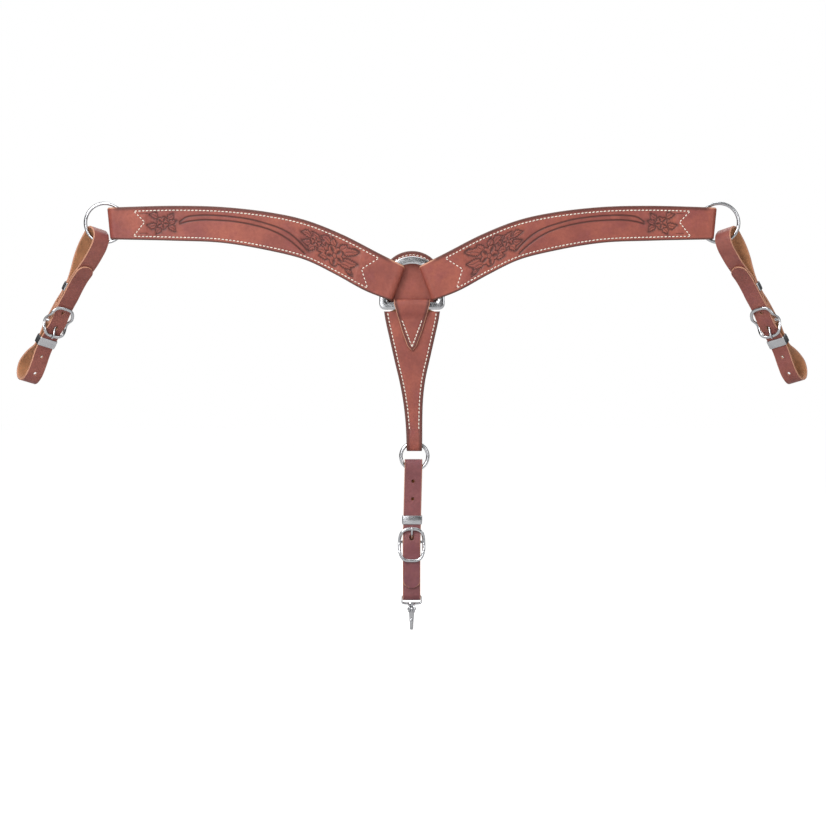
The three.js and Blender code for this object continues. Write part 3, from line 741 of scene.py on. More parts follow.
def stitches(name, runs, thread=None):
    """Lockstitches along lines: each run is (points, outward normal, closed). A stitch is a short
    capsule laid on its chord and sunk at both ends, its radius rising from the hole by a quarter
    circle, and it leans a few degrees off the line as a machine lays it."""
    thread = thread or bpy.context.scene.breastplate_thread
    pitch, width, length = thread.pitch * 1000, thread.width * 1000, thread.length * 1000
    ring, sides = np.linspace(-1, 1, 7), 6
    swell = np.sqrt(np.clip(1 - np.abs(ring) ** 2.6, 0.03, 1))
    w = circle(sides)
    points, uv_parts, n = [], [], 0
    quads, caps = [], []
    for line, out in runs:
        line = np.asarray(line, float)
        out = unit(out)
        total = run_of(line)[-1]
        count = max(2, int(round(total / pitch)))
        here = (np.arange(count) + 0.5) * total / count
        mid = at_runs(line, here)
        way = at_runs(line, np.minimum(here + 1, total)) - at_runs(line, np.maximum(here - 1, 0))
        way /= np.linalg.norm(way, axis=1, keepdims=True)
        side = np.cross(out, way)
        way = way + 0.09 * side
        way /= np.linalg.norm(way, axis=1, keepdims=True)
        side = np.cross(out, way)
        sink = 0.42 * np.abs(ring) ** 3 * width
        centre = (
            mid[:, None]
            + way[:, None] * (ring * length / 2)[None, :, None]
            + out * (0.12 * width - sink)[None, :, None]
        )
        g = (
            centre[:, :, None]
            + side[:, None, None] * (swell[None, :, None] * np.cos(w) * width * 0.52)[..., None]
            + out * (swell[None, :, None] * np.sin(w) * width * 0.4)[..., None]
        )
        one, ends = shell(np.zeros((len(ring), sides, 3)))
        size = len(ring) * sides
        base = n + np.arange(count)[:, None, None] * size
        quads.append((one[None] + base).reshape(-1, 4))
        caps += [e + n + k * size for k in range(count) for e in ends]
        points.append(g.reshape(-1, 3))
        uv_parts.append(
            np.tile(
                surface_uv(ring * length / 2, np.linspace(0, width * 3, sides + 1)).reshape(-1, 4, 2),
                (count, 1, 1)
            )
        )
        n += count * size
    return new_piece(
        name, np.vstack(points), np.vstack(quads), caps, finishes("thread"), uv=np.concatenate(uv_parts)
    )


def on_plane(line, y):
    """A line of (x, z) laid at depth y."""
    line = np.asarray(line, float)
    return np.stack([line[:, 0], np.full(len(line), y), line[:, 1]], 1)


# ================================================================ tooling of the arms

# Five-petalled flowers: place along the arm, place across it, radius, turn of the first petal.
FLOWERS = [(101.0, -4.5, 14.0, 0.3), (131.0, 3.5, 8.4, 0.9), (353.0, 0.0, 8.8, 0.5)]
# Leaves: base and tip (along, across), half-width and how far the middle bows to one side.
LEAVES = [
    (110, 8, 124, 14.0, 4.6, 2.6), (102, 9, 107, 18.0, 4.4, -1.8), (95, 8, 86, 17.0, 4.8, 2.2),
    (88, 4, 71, 11.0, 5.0, -2.8), (87, -4, 65, -0.5, 4.8, 2.6), (90, -12, 73, -11.5, 4.4, -2.2),
    (112, -13, 125, -14.0, 4.0, 2.0), (115, -5.5, 129, -7.5, 4.2, 2.2), (126, 10, 137, 15.0, 3.8, -1.8),
    (138, 6.5, 153, 10.0, 4.0, 2.4), (139, 1, 152, -2.0, 3.8, -2.2), (133, -4.5, 142, -13.5, 4.0, 2.2),
    (117, 4, 123, 8.5, 2.6, 0.8), (80, 13, 67, 16.0, 3.2, 1.4), (80, -16, 69, -17.0, 2.4, -1.0),
    (360, 7, 371, 12.0, 3.8, 2.0), (362, -2.0, 375, -3.0, 3.8, -2.2), (355, -8.5, 362, -15.5, 3.6, 1.8),
    (346, 6.5, 338, 13.5, 3.6, 1.8), (344.5, -5, 335, -12.0, 3.5, -1.8), (344, 1.5, 334, 3.5, 3.0, 1.2),
]
# Swelling double line that runs from the outer flower to the floral field, in (|x|, z).
SWOOP = [
    [
        (331, 85), (322, 91.5), (306, 94), (289, 94.3), (260, 92.5), (231, 88.5), (208, 82.5), (189, 76),
        (174, 68), (160, 56), (150, 45)
    ],
    [
        (331, 82), (318, 85.5), (300, 87.5), (281, 87.3), (256, 85.6), (231, 81.5), (208, 75.5), (189, 67.5),
        (174, 58), (163, 49), (153, 39.5)
    ],
]
V_CENTRE = [(45, 30.6), (72, 17.6), (62, -13.4)]  # stitched point near the dee
V_OUTER = [(396, 103), (381.4, 84.5), (398.7, 65)]  # stitched point near the ring
INSET_TOP, INSET_LOW = 6.6, 5.0  # stitch lines from the upper and lower edges


def notch(gap, depth, width):
    """A rounded groove: a bell curve of the distance to its middle line."""
    return -depth * np.exp(-((gap / width) ** 2))


def groove(gap):
    """The channel that a line of thread is pulled into."""
    return notch(gap, 0.3, 0.95)


def flower_gap(s, v, flower):
    """Signed distance, negative inside, to a flower whose rim swells over five petals; and its inner
    cuts: the lines between the petals, a dish in each petal, and a beaded middle."""
    s0, v0, r, turn = flower
    x, y = s - s0, v - v0
    rho, way = np.hypot(x, y), np.arctan2(y, x) + turn
    petal = np.abs(np.cos(2.5 * way))
    gap = rho - r * (0.66 + 0.34 * petal**0.55)
    split = r * 0.9 * (1 - petal)
    inside = ease(-gap / 1.2)
    heart = r * 0.26
    cuts = notch(split, 0.34, r * 0.11) * inside * ease((rho - heart) / 1.0)
    cuts += -0.26 * inside * np.exp(-(((rho - r * 0.55) / (r * 0.2)) ** 2)) * petal
    fan = 0.5 + 0.5 * np.cos(way * 35)
    cuts += -0.14 * fan * inside * np.exp(-(((rho - r * 0.5) / (r * 0.24)) ** 2))
    cuts += notch(rho - heart, 0.42, 0.6)
    beads = 0.5 + 0.5 * np.cos(x * 2 * math.pi / 1.9) * np.cos(y * 2 * math.pi / 1.9)
    cuts += -0.25 * beads * (1 - ease((rho - heart + 0.5) / 0.6))
    return gap, cuts


def leaf_gap(s, v, leaf):
    """Signed distance to a bowed leaf whose half-width follows a sine with scalloped lobes, and its
    inner cuts: a middle vein and slanting side veins."""
    s0, v0, s1, v1, wide, bow = leaf
    length = math.hypot(s1 - s0, v1 - v0)
    cx, cy = (s1 - s0) / length, (v1 - v0) / length
    u = ((s - s0) * cx + (v - v0) * cy) / length
    side = -(s - s0) * cy + (v - v0) * cx
    k = np.clip(u, 0, 1)
    side = side - bow * np.sin(math.pi * k)
    half = wide * np.sin(math.pi * k**0.8) * (1 + 0.16 * np.cos(k * length * 2 * math.pi / 3.6))
    over = (u - k) * length
    gap = np.where(over == 0, np.abs(side) - half, np.hypot(side, over))
    inside = ease(-gap / 0.9)
    vein = notch(side, 0.42, 0.42) * ease(k * 8) * ease((0.95 - k) * 8)
    ribs = 0.5 + 0.5 * np.cos((k * length - np.abs(side) * 0.9) * 2 * math.pi / 2.2)
    return gap, inside * (vein - 0.16 * ribs)


def arm_relief(points, run, across):
    """Height of an arm's face in mm and how deep it is cut. Outside the motifs' outlines the ground is
    beveled down and rises again over about 2 mm; the swoops, borders and stitch grooves are notches."""
    x, z = np.abs(points[..., 0]), points[..., 2]
    s = np.broadcast_to(run, x.shape)
    face = (points[..., 1] < -(FRONT + 0.9)) & (s > 0)
    q = arm_station(x, z)
    gap, cuts = np.full(x.shape, 1e3), np.zeros(x.shape)
    near = face & (((q > 55) & (q < 160)) | ((q > 325) & (q < 385)))
    qn, vn = q[near], across[near]
    gn, cn = gap[near], cuts[near]
    for shape, motifs in ((flower_gap, FLOWERS), (leaf_gap, LEAVES)):
        for motif in motifs:
            g, c = shape(qn, vn, motif)
            cn = np.where(g < gn, np.where(g < 0.4, c, cn), cn)
            gn = np.minimum(gn, g)
    gap[near], cuts[near] = gn, cn
    ground = -0.85 * np.exp(-np.maximum(gap, 0) / 2.2) * ease((gap + 0.35) / 0.7)
    mat = 0.5 + 0.5 * np.cos(q * 2 * math.pi / 1.5) * np.cos(across * 2 * math.pi / 1.5)
    ground = ground * (1 + 0.18 * mat)
    height = 1.5 * cuts + ground + notch(gap, 0.35, 0.6)
    for line in SWOOP:
        line = evenly(through(line), 5)
        g = gap_to_line(x, z, line)
        clear = ease((gap - 0.5) / 1.5)
        height += (notch(g, 0.75, 0.95) - 0.22 * np.exp(-g / 3.0)) * clear
    half = arm_half(q)
    top, low = half - across, half + across
    between_vs = ease((q - 62) / 4) * ease((ARM_LENGTH - 53 - q) / 4)
    border = ((q > 374) & (q < ARM_LENGTH - 44)) | ((q > 66) & (q < 76))
    height += (notch(top - 10.6, 0.5, 0.8) + notch(low - 9, 0.5, 0.8)) * border * ease((gap - 0.5) / 1.5)
    height += arm_grooves(x, z, top, low, q)
    puffed = 0.45 * (1 - between_vs)
    return np.where(face, height + puffed, 0.0), np.where(face, -height, 0.0)


def arm_station(x, z):
    """Length along the arm's middle at which a point of its face lies, from the crossing line it is on:
    the place is first read from x, then moved along until the crossing line meets the point."""
    q = np.interp(x, (UPPER[:, 0] + LOWER[:, 0]) / 2, ARM_RUN)
    for _ in range(6):
        u, l = arm_edges(q)
        t = (z - l[..., 1]) / (u[..., 1] - l[..., 1])
        q = q + (x - (l[..., 0] + (u[..., 0] - l[..., 0]) * t)) * 0.95
    return q


def arm_half(q):
    """Half-width of an arm at a station: half the length of its crossing line."""
    u, l = arm_edges(q)
    return np.linalg.norm(u - l, axis=-1) / 2


def edge_stitch_line(q0, q1, inset, top):
    """Stitch line in (|x|, z) at a distance in from an arm's upper or lower edge."""
    q = np.linspace(q0, q1, 160)
    u, l = arm_edges(q)
    wide = np.linalg.norm(u - l, axis=-1)[:, None]
    return u + (l - u) * inset / wide if top else l + (u - l) * inset / wide


def arm_stitch_lines():
    """The closed outline sewn on an arm's face: both edges between the two stitched points."""
    top = edge_stitch_line(38.5, ARM_LENGTH - 37.5, INSET_TOP, True)
    low = edge_stitch_line(41, ARM_LENGTH - 35, INSET_LOW, False)
    inner = np.array([top[0], V_CENTRE[1], low[0]])
    outer = np.array([top[-1], V_OUTER[1], low[-1]])
    return top, low, inner, outer


def arm_grooves(x, z, top, low, q):
    """The shallow channel that the thread is pulled into, along each stitch line."""
    _, _, inner, outer = arm_stitch_lines()
    on = (q > 39) & (q < ARM_LENGTH - 37)
    g = np.minimum(np.abs(top - INSET_TOP) + 99 * ~on, np.abs(low - INSET_LOW) + 99 * ~on)
    g = np.minimum(g, np.minimum(gap_to_line(x, z, inner), gap_to_line(x, z, outer)))
    return groove(g)


# ================================================================ the pieces


def build_arm(side):
    """An arm: the face folded back through the dee and the ring, and the lining between its points."""
    word = "right" if side > 0 else "left"
    fold = (FRONT - TURNED) / 2
    bend = fold + PLY / 2
    end = ARM_LENGTH

    def half_turn(s0, sign):
        w = np.array([0.25, 0.5, 0.75]) * math.pi
        return [(s0 + sign * fold * math.sin(k), -METAL_Y + fold * math.cos(k)) for k in w]

    line = through(
        [
            (61, BEHIND), (50, BEHIND), (39.5, BEHIND - 0.05), (35, BEHIND - 2.1), (30.5, TURNED + 1),
            (26, TURNED), (bend + 6, TURNED), (bend, TURNED)
        ]
        + half_turn(bend, -1)[::-1]
        + [(bend, FRONT), (bend + 8, FRONT)]
        + [(k * end, FRONT) for k in (0.12, 0.2, 0.3, 0.4, 0.5, 0.6, 0.7, 0.8, 0.9)]
        + [(end - bend - 8, FRONT), (end - bend, FRONT)]
        + half_turn(end - bend, 1)
        + [
            (end - bend, TURNED), (end - 23, TURNED), (end - 27.5, TURNED + 1), (end - 31.5, BEHIND - 2.1),
            (end - 35.5, BEHIND - 0.05), (end - 46, BEHIND), (end - 56, BEHIND)
        ]
    )
    run = run_of(line)
    start = run[np.argmin(np.abs(line - [bend, FRONT]).sum(1))]
    # stations close together where the leather is tooled and where it folds
    tooled = lambda a, b, step: np.arange(start - bend + a, start - bend + b, step)
    stops = np.concatenate(
        [
            np.arange(0, start + 20, 1.3), tooled(28, 56, 1.3), tooled(56, 158, 0.62), tooled(158, 328, 1.5),
            tooled(328, 384, 0.66), np.arange(start - bend + 384, run[-1], 1.3), [run[-1]]
        ]
    )
    line = at_runs(line, np.unique(np.round(stops, 3)))
    front = line[:, 1] > BEHIND + 1.2
    tip = np.clip(np.where(line[:, 0] < 100, (line[:, 0] - 33) / 28, (end - 32 - line[:, 0]) / 24), 0, 1)
    half = np.where(front, 1.0, 0.96 + (0.03 - 0.96) * tip)
    raw = np.maximum(ease((30 - line[:, 0]) / 14), ease((line[:, 0] - end + 16) / 10))
    face = strap(
        f"{word}_arm_face_leather", arm_carry(side), line, half, finishes(
            "arm_grain", "burnished_edge", "flesh_side"
        ),
        grain=1, across=78, back=12, rim=1.3, scale=arm_half(
            line[:, 0]
        ), relief=arm_relief, low_rim=1.9, raw=raw,
    )
    settle(face, f"{word}_arm", "grain_leather", f"{word}_arm_face")

    s = np.linspace(38.5, end - 37, 220)
    lining_line = np.stack([s, np.full_like(s, BEHIND)], 1)
    lining = strap(
        f"{word}_arm_lining_leather", arm_carry(side), lining_line, 0.985, finishes(
            "lining_grain", "burnished_edge", "flesh_side"
        ),
        thick=PLY - 0.2, grain=1, across=30, back=8, rim=1.0, scale=arm_half(s),
    )
    settle(lining, f"{word}_arm", "lining_leather", f"{word}_arm_lining")

    top, low, inner, outer = arm_stitch_lines()
    flip = np.array((side, 1.0))
    runs = []
    for y, out in ((-(FRONT + PLY / 2), (0, -1, 0)), (-(BEHIND - (PLY - 0.2) / 2), (0, 1, 0))):
        for line_ in (top, low):
            runs.append((on_plane(line_ * flip, y), out))
        if out[1] < 0:
            for corner in (inner, outer):
                runs.append((on_plane(corner[:2] * flip, y), out))
                runs.append((on_plane(corner[1:] * flip, y), out))
    settle(stitches(f"{word}_arm_stitching", runs), f"{word}_arm", "grain_leather")


def build_safe():
    """The round safe: two plies with rubbed edges, sewn round near the rim."""
    w = circle(160)
    for name, node_name, y0, y1 in (
        ("safe_back_leather", "safe_back", -2.7, 0.0),
        ("safe_front_leather", "safe_front", -5.6, -2.95),
    ):
        mid, deep = (y0 + y1) / 2, (y1 - y0) / 2
        k = np.linspace(-math.pi / 2, math.pi / 2, 9)
        flat = np.linspace(0.02, SAFE_R - 1.2, 44)
        radius = np.concatenate([flat, SAFE_R - 1.2 + 1.2 * np.cos(k), flat[::-1]])
        depth = np.concatenate([np.full(44, -1.0), np.sin(k), np.full(44, 1.0)]) * deep
        sunk = np.concatenate([notch(flat - SAFE_SEAM, 0.28, 0.9), np.zeros(9 + 44)])
        grid = np.stack(
            [
                radius[:, None] * np.cos(w),
                mid + depth[:, None] - sunk[:, None] + 0 * w,
                radius[:, None] * np.sin(w),
            ],
            -1,
        )
        quads, caps = shell(grid)
        which = np.repeat(np.concatenate([np.zeros(43), np.ones(10), np.full(43, 0)]), len(w))
        marks = {"rim": np.repeat(np.maximum(SAFE_R - radius, 0), len(w)), "carve": np.repeat(-sunk, len(w))}
        if y1 == 0.0:
            names = ("lining_grain", "burnished_edge")
        else:
            names = ("arm_grain", "burnished_edge")
        piece = new_piece(name, grid.reshape(-1, 3), quads, caps, finishes(*names), which, None, marks)
        piece.data.uv_layers.new(name="surface")
        settle(piece, "drop", "grain_leather", node_name)

    def ring(start, end):
        w = np.radians(np.linspace(start, end, 200))
        return SAFE_SEAM * np.stack([np.cos(w), np.sin(w)], 1)

    # the thread stands proud on the open top of the safe and lies in its groove where the arms swing over it
    runs = [
        (on_plane(ring(50, 130), THREAD_PROUD), (0, -1, 0)),
        (on_plane(ring(130, 410), THREAD_SUNK), (0, -1, 0)),
        (on_plane(ring(0, 360), 0.0), (0, 1, 0)),
    ]
    settle(stitches("safe_stitching", runs), "drop", "grain_leather")


def dee_outline(inset, corner):
    """Outline of the dee at an inset: a half circle, straight sides, two round corners and a flat foot,
    with the same number of points on each stretch at every inset."""
    r, low = DEE_R - inset, DEE_BOTTOM + inset
    arc = lambda cx, cz, rad, a, b, n: np.stack(
        [cx + rad * np.cos(np.linspace(a, b, n)), cz + rad * np.sin(np.linspace(a, b, n))], 1
    )
    line = lambda a, b, n: np.stack([np.linspace(a[0], b[0], n), np.linspace(a[1], b[1], n)], 1)
    return np.vstack(
        [
            arc(0, DEE_Z, r, 0, math.pi, 80),
            line((-r, DEE_Z), (-r, low + corner), 12)[1:],
            arc(-r + corner, low + corner, corner, math.pi, 1.5 * math.pi, 14)[1:],
            line((-r + corner, low), (r - corner, low), 30)[1:],
            arc(r - corner, low + corner, corner, 1.5 * math.pi, 2 * math.pi, 14)[1:],
            line((r, low + corner), (r, DEE_Z), 12)[1:-1],
        ]
    )


def build_dee():
    """The dee: a domed band whose section, between its outer and inner outlines, is a squared oval."""
    outer, inner = dee_outline(0, 8), dee_outline(DEE_BAND, 3)
    w = circle(36)
    share = 0.5 + 0.5 * power(np.cos(w), 0.62)
    depth = METAL_Y - DEE_THICK / 2 * power(np.sin(w), 0.62)
    flat = outer[:, None] + (inner - outer)[:, None] * share[None, :, None]
    grid = np.stack([flat[..., 0], np.broadcast_to(depth, flat.shape[:2]), flat[..., 1]], -1)
    metal_piece("centre_dee_metal", solid(grid, True), "dee", "center_dee")


def build_ring(name, centre, radius, body, cad):
    """A welded ring: a torus, with the faint swelling of its weld at the back of its top."""
    w = circle(120)
    v = circle(22)
    weld = 1 + 0.05 * np.exp(-(((w - math.pi * 0.42) / 0.05) ** 2))
    wire = WIRE * weld[:, None]
    out = radius + wire * np.cos(v)
    grid = np.stack(
        [
            centre[0] + out * np.cos(w)[:, None],
            centre[1] + wire * np.sin(v),
            centre[2] + out * np.sin(w)[:, None],
        ],
        -1,
    )
    metal_piece(name, solid(grid, True), body, cad)


def build_drop():
    """The drop: its face round the lower ring and its lining up round the dee's bar to a pointed tab."""
    line = evenly(
        through(
            [
                *((z, DROP_FACE) for z in (-42.6, -70, -110, -150, -190)), (-207, 11.5), (-217, 13),
                (-227, 14.6), (-236, 14.3), (-240.2, 11.8), (-240.3, 8.2), (-236, 5.6), (-227, 5.1),
                (-218, 4.8), (-205, 4.6), (-188, 4.6)
            ]
        ),
        0.9,
    )
    low = int(np.argmin(line[:, 0]))
    back = np.arange(len(line)) > low
    half = np.where(
        back & (line[:, 0] > -202), 11.6 + (2 - 11.6) * np.clip(
            (line[:, 0] + 202) / 14, 0, 1
        ), drop_half(line[:, 0])
    )

    def face_relief(points, run, across):
        wide = drop_half(points[..., 2])
        on = (points[..., 1] < -12) & (points[..., 2] > -218)
        height = groove(wide - np.abs(across) - DROP_SEAM) * on
        return height, -height

    face = strap(
        "drop_face_leather", drop_carry, line, half, finishes("arm_grain", "burnished_edge", "flesh_side"),
        thick=DROP_PLY, across=64, back=14, rim=1.3, relief=face_relief,
    )
    settle(face, "drop", "grain_leather", "drop_face")

    line = evenly(
        through(
            [
                *((z, DROP_LINING) for z in (-217, -150, -90, -48)), (-34, 7.85), (-29.5, 8.2), (-27.2, 10.2),
                (-26.7, 13), (-27.6, 16.2), (-31, 18.1), (-38, 18.3), (-44, 17.6), (-51, 15.2),
                *((z, DROP_TAB) for z in (-60, -80, -98))
            ]
        ),
        0.9,
    )
    top = int(np.argmax(line[:, 0]))
    i = np.arange(len(line))
    z = line[:, 0]
    behind = np.where(z > -40, 25.8, np.where(z > -45, 25.8 + 13.2 * (-40 - z) / 5, drop_half(z) - 0.6))
    tab = np.interp(-z, [26, 31, 45, 70.6, 92.4, 98.1], [25.8, 25.8, 22, 14.6, 6.4, 1.2])
    half = np.where(i < top, behind, tab)

    def tab_relief(points, run, across):
        g = gap_to_line(points[..., 0], points[..., 2], [(-TAB_SEAM, -52), (0, -93), (TAB_SEAM, -52)])
        height = groove(g) * (points[..., 1] < -14)
        return height, -height

    lining = strap(
        "drop_lining_leather", drop_carry, line, half, finishes("arm_grain", "cut_edge", "flesh_side"),
        thick=DROP_PLY, across=50, back=14, rim=1.0, relief=tab_relief,
    )
    settle(lining, "drop", "lining_leather", "drop_lining")

    z = np.linspace(-44.5, -217, 120)
    runs = []
    for s in (-1, 1):
        edge = np.stack([drop_carry(s * (drop_half(z) - DROP_SEAM), z, 0)[:, 0], z], 1)
        runs.append((on_plane(edge, -(DROP_FACE + DROP_PLY / 2)), (0, -1, 0)))
        runs.append((on_plane(edge[:-8], -(DROP_LINING - DROP_PLY / 2)), (0, 1, 0)))
        runs.append((on_plane([(s * TAB_SEAM, -55), (0, -93.5)], -(DROP_TAB + DROP_PLY / 2)), (0, -1, 0)))
    settle(stitches("drop_stitching", runs), "drop", "grain_leather")


def build_buckle(name, carry, strap_body, tongue_body, buckle_cad, tongue_cad):
    """A centre-bar buckle: a rounded frame whose two ends stand in front of its bar by a squared sine,
    its bar, and the tongue, a wire bent round the bar and forward to rest on the end bar."""
    a, b = (BUCKLE_W - FRAME_W) / 2, (BUCKLE_L - FRAME_W) / 2
    mid = BAR_TO_TIP - BUCKLE_L / 2
    w = circle(168)
    x = a * power(np.cos(w), 0.62)
    y = mid + b * power(np.sin(w), 0.72)
    loop = evenly(np.vstack([np.stack([x, y], 1), [x[0], y[0]]]), 0.8)[:-1]
    way = headings(loop)
    rise = FRAME_RISE * np.sin(np.clip(np.abs(loop[:, 1]) / 15, 0, 1) * math.pi / 2) ** 2
    v = circle(20)
    u_off, d_off = power(np.cos(v), 0.85) * FRAME_W / 2, power(np.sin(v), 0.85) * FRAME_T / 2
    g = carry(
        loop[:, :1] + way[:, 1:] * u_off, loop[:, 1:] - way[:, :1] * u_off, rise[:, None] + d_off
    )
    frame = merge([solid(g, True), rod(carry, (-a, 0, 0), (a, 0, 0), BAR_R)])
    metal_piece(f"{name}_frame", frame, strap_body, buckle_cad)

    r = 1.15
    eye = BAR_R + 0.4 + r
    turn = np.radians(np.arange(0, -271, -30))
    line = evenly(
        through(
            [(eye * math.cos(k), eye * math.sin(k)) for k in turn]
            + [(3.6, 3.9), (8, 6.4), (12, 9.9), (16, 12.1), (19, 12.3), (21.8, 11.7)]
        ),
        0.45,
    )
    slope = slopes(line)
    share = run_of(line) / run_of(line)[-1]
    fat = r * np.where(share > 0.8, 1 - 0.25 * ease((share - 0.8) / 0.2), 1.0) * drawn_in(len(line), 4)
    v = circle(16)
    across = np.cos(v) * fat[:, None] * 1.35
    lift = np.sin(v) * fat[:, None]
    g = carry(across, line[:, :1] - slope[:, 1:] * lift, line[:, 1:] + slope[:, :1] * lift)
    metal_piece(f"{name}_tongue", solid(g), tongue_body, tongue_cad)


def build_keeper(name, carry, q0, d0, d1, body, cad):
    """A metal keeper: a flat band bent round the strap. Round the strap it follows a box with rounded
    corners; across its length the section is a slim oval, so both rims are rolled."""
    w = STRAP_W / 2 + 0.5
    e = KEEPER_T / 2
    cr = 1.6

    def box_round(grow):
        """Corner arcs of the keeper's box, grown outward from the middle of the metal."""
        hx, hd, mid = w + e, (d1 - d0) / 2 + e, (d0 + d1) / 2
        pts = []
        for sx, sd, a0 in ((1, 1, 0.0), (-1, 1, 0.5), (-1, -1, 1.0), (1, -1, 1.5)):
            k = np.linspace(a0, a0 + 0.5, 8) * math.pi
            pts.append(
                np.stack(
                    [
                        sx * (hx - cr) + (cr + grow) * np.cos(k),
                        mid + sd * (hd - cr) + (cr + grow) * np.sin(k)
                    ],
                    1
                )
            )
        return np.vstack(pts)

    v = circle(28)
    along = power(np.cos(v), 0.35) * KEEPER_L / 2
    thick = power(np.sin(v), 0.6) * e * 0.96
    crown = 0.18 * (1 - (along / (KEEPER_L / 2)) ** 2)
    loop, out = box_round(0.0), box_round(1.0) - box_round(0.0)
    t = loop[:, :1] + out[:, :1] * (thick + crown)
    d = loop[:, 1:] + out[:, 1:] * (thick + crown)
    g = carry(t, q0 + np.broadcast_to(along, t.shape), d)
    metal_piece(name, solid(g, True), body, cad)


def build_buckled_strap(name, carry, points, holes, grain, body, cad):
    """A strap doubled through its own buckle: the turned end round the bar, a loop at each end and the
    billet, whose tip is close to a half circle. Holes are cut right through."""
    line = evenly(through(points), 0.85)
    total = run_of(line)[-1]
    left = total - run_of(line)
    near = TIP_L * (1 - np.cos(np.linspace(math.pi / 2, 0.0, 18)))
    stops = np.concatenate([run_of(line)[left > TIP_L + 0.6], total - near])
    line = at_runs(line, stops)
    left = total - stops
    k = np.clip(1 - left / TIP_L, 0, 1)
    half = STRAP_W / 2 * np.sqrt(np.maximum(1 - k**2.2, 0.002))

    def rub(points_, run, across):
        """A line creased along each rim."""
        height = notch(STRAP_W / 2 - np.abs(across) - 2.6, 0.16, 0.5) * (left > TIP_L)[:, None]
        # the carve mark is 1.4 times the crease's depth, so the crease is painted darker: antique stain and
        # painted shade
        return height, -height * 1.4

    piece = strap(
        name, carry, line, half, finishes(grain, "cut_edge", "flesh_side"), across=34, back=16, rim=0.9,
        relief=rub
    )
    cutters = [rod(carry, (0, q, d - 2.6), (0, q, d + 2.6), r, 20) for q, d, r in holes]
    slot = [[-2.6, -5.6], [2.6, -5.6], [2.6, 9.5], [-2.6, 9.5]]
    g = np.array([[carry(t, q, d) for t, q in slot] for d in (-6.2, 5.4)])
    cutters.append(solid(g))
    punch(piece, cutters, finish_named("cut_edge"))
    settle(piece, body, "strap_leather", cad)


BAR_WRAP = BAR_R + 0.2 + PLY / 2  # centre bar to the middle of the leather bent round it


def bar_wrap():
    """The turn of the strap round its buckle's bar."""
    k = 0.72 * BAR_WRAP
    return [(-5.5, -3.3), (0, -BAR_WRAP), (k, -k), (BAR_WRAP, 0), (k, k), (0, BAR_WRAP), (-6, 3.1)]


TUG_LINE = [
    (108, -1.95), (118, -1.95), (126, -2.4), "bar", (122, 1.75), (112, 1.55), (95, 1.55), (73, 1.6),
    (62, 3.5), (48, 8), (32, 13), (16, 15.4), (3, 15.6), (-7, 11.8), (-12.4, 4.5), (-13.6, -3),
    (-13.2, -10.5), (-8.6, -17.4), (6, -19.8), (19, -20), (37, -16), (54, -8), (65, -3.6), (73.5, -2),
    (92, -2.3), (103, -4.6), (112, -5.9), (124, -6.7), (136.5, -7.3), (150, -6.9), (159, -5.2), (166, -4.5),
    (178.5, -4.7), (184, -7), (192, -13), (204, -20), (220, -24), (232, -17), (236.5, -5), (232, 7),
    (219, 12), (202, 9.5), (189, 5.6), (179, 3.75), (165, 3.6), (157, 4.5), (149, 4.8), (144.6, 6.3),
    (136.5, 7.4), (128.5, 6.9), (121.5, 5.6), (116.5, 5.15), (110, 5.1), (102, 5.5), (92, 6.4), (80, 6.4),
    (70, 6.9), (60, 8.3), (48, 12), (37.5, 15),
]
CENTRE_LINE = [
    (-401, -1.95), (-391, -1.95), (-383, -2.4), "bar", (-386, 1.75), (-397, 1.55), (-412, 1.55), (-430, 2.2),
    (-443, 3.5), (-450.5, 3.5), (-453.4, 1), (-453.4, -3.1), (-450.5, -5.7), (-443, -5.7), (-430, -5.6),
    (-412, -5.7), (-400, -6), (-386, -6.7), (-372, -7.3), (-358, -6.9), (-349, -5.2), (-340, -4.6),
    (-325, -4.8), (-300, -5.4), (-280, -5.6), (-262, -5.7), (-257, -4.4), (-255.1, -0.5), (-257, 3.4),
    (-262, 4.7), (-280, 4.6), (-300, 4.3), (-325, 3.7), (-343, 3.6), (-351.5, 4.5), (-359.5, 4.8),
    (-363.9, 6.3), (-372, 7.4), (-380, 6.9), (-387, 5.6), (-392, 5.15), (-398.5, 5.1), (-410, 5.2),
    (-424, 5.5), (-437.5, 6.2),
]


def strap_points(line, origin):
    """A strap's table with its lengths counted from the buckle's bar and the turn round it put in."""
    out = []
    for p in line:
        out += bar_wrap() if p == "bar" else [(p[0] - origin, p[1])]
    return out


def build_tug(side):
    """A tug: the buckled strap hung on the ring, its buckle and tongue, and two keepers."""
    word = "right" if side > 0 else "left"
    carry, u = tug_carry(side), lambda x: x - TUG_BAR
    holes = [
        (u(191), 6.5, HOLE_R), (u(216.4), 11.6, HOLE_R), (u(144.2), 6.4, 3.4), (u(142.2), 6.6, 3.2),
        (u(118), 5.2, HOLE_R), (u(165), 3.8, HOLE_R)
    ]
    build_buckled_strap(
        f"{word}_tug_leather", carry, strap_points(TUG_LINE, TUG_BAR), holes, "tug_grain", f"{word}_tug",
        f"{word}_tug_strap"
    )
    build_buckle(
        f"{word}_tug", carry, f"{word}_tug", f"{word}_tongue", f"{word}_tug_buckle", f"{word}_tug_tongue"
    )
    build_keeper(
        f"{word}_tug_keeper_upper", carry, u(80), -4.1, 3.6, f"{word}_upper_keeper",
        f"{word}_tug_upper_keeper"
    )
    build_keeper(
        f"{word}_tug_keeper_lower", carry, u(169), *KEEPER_SPAN, f"{word}_lower_keeper",
        f"{word}_tug_lower_keeper"
    )


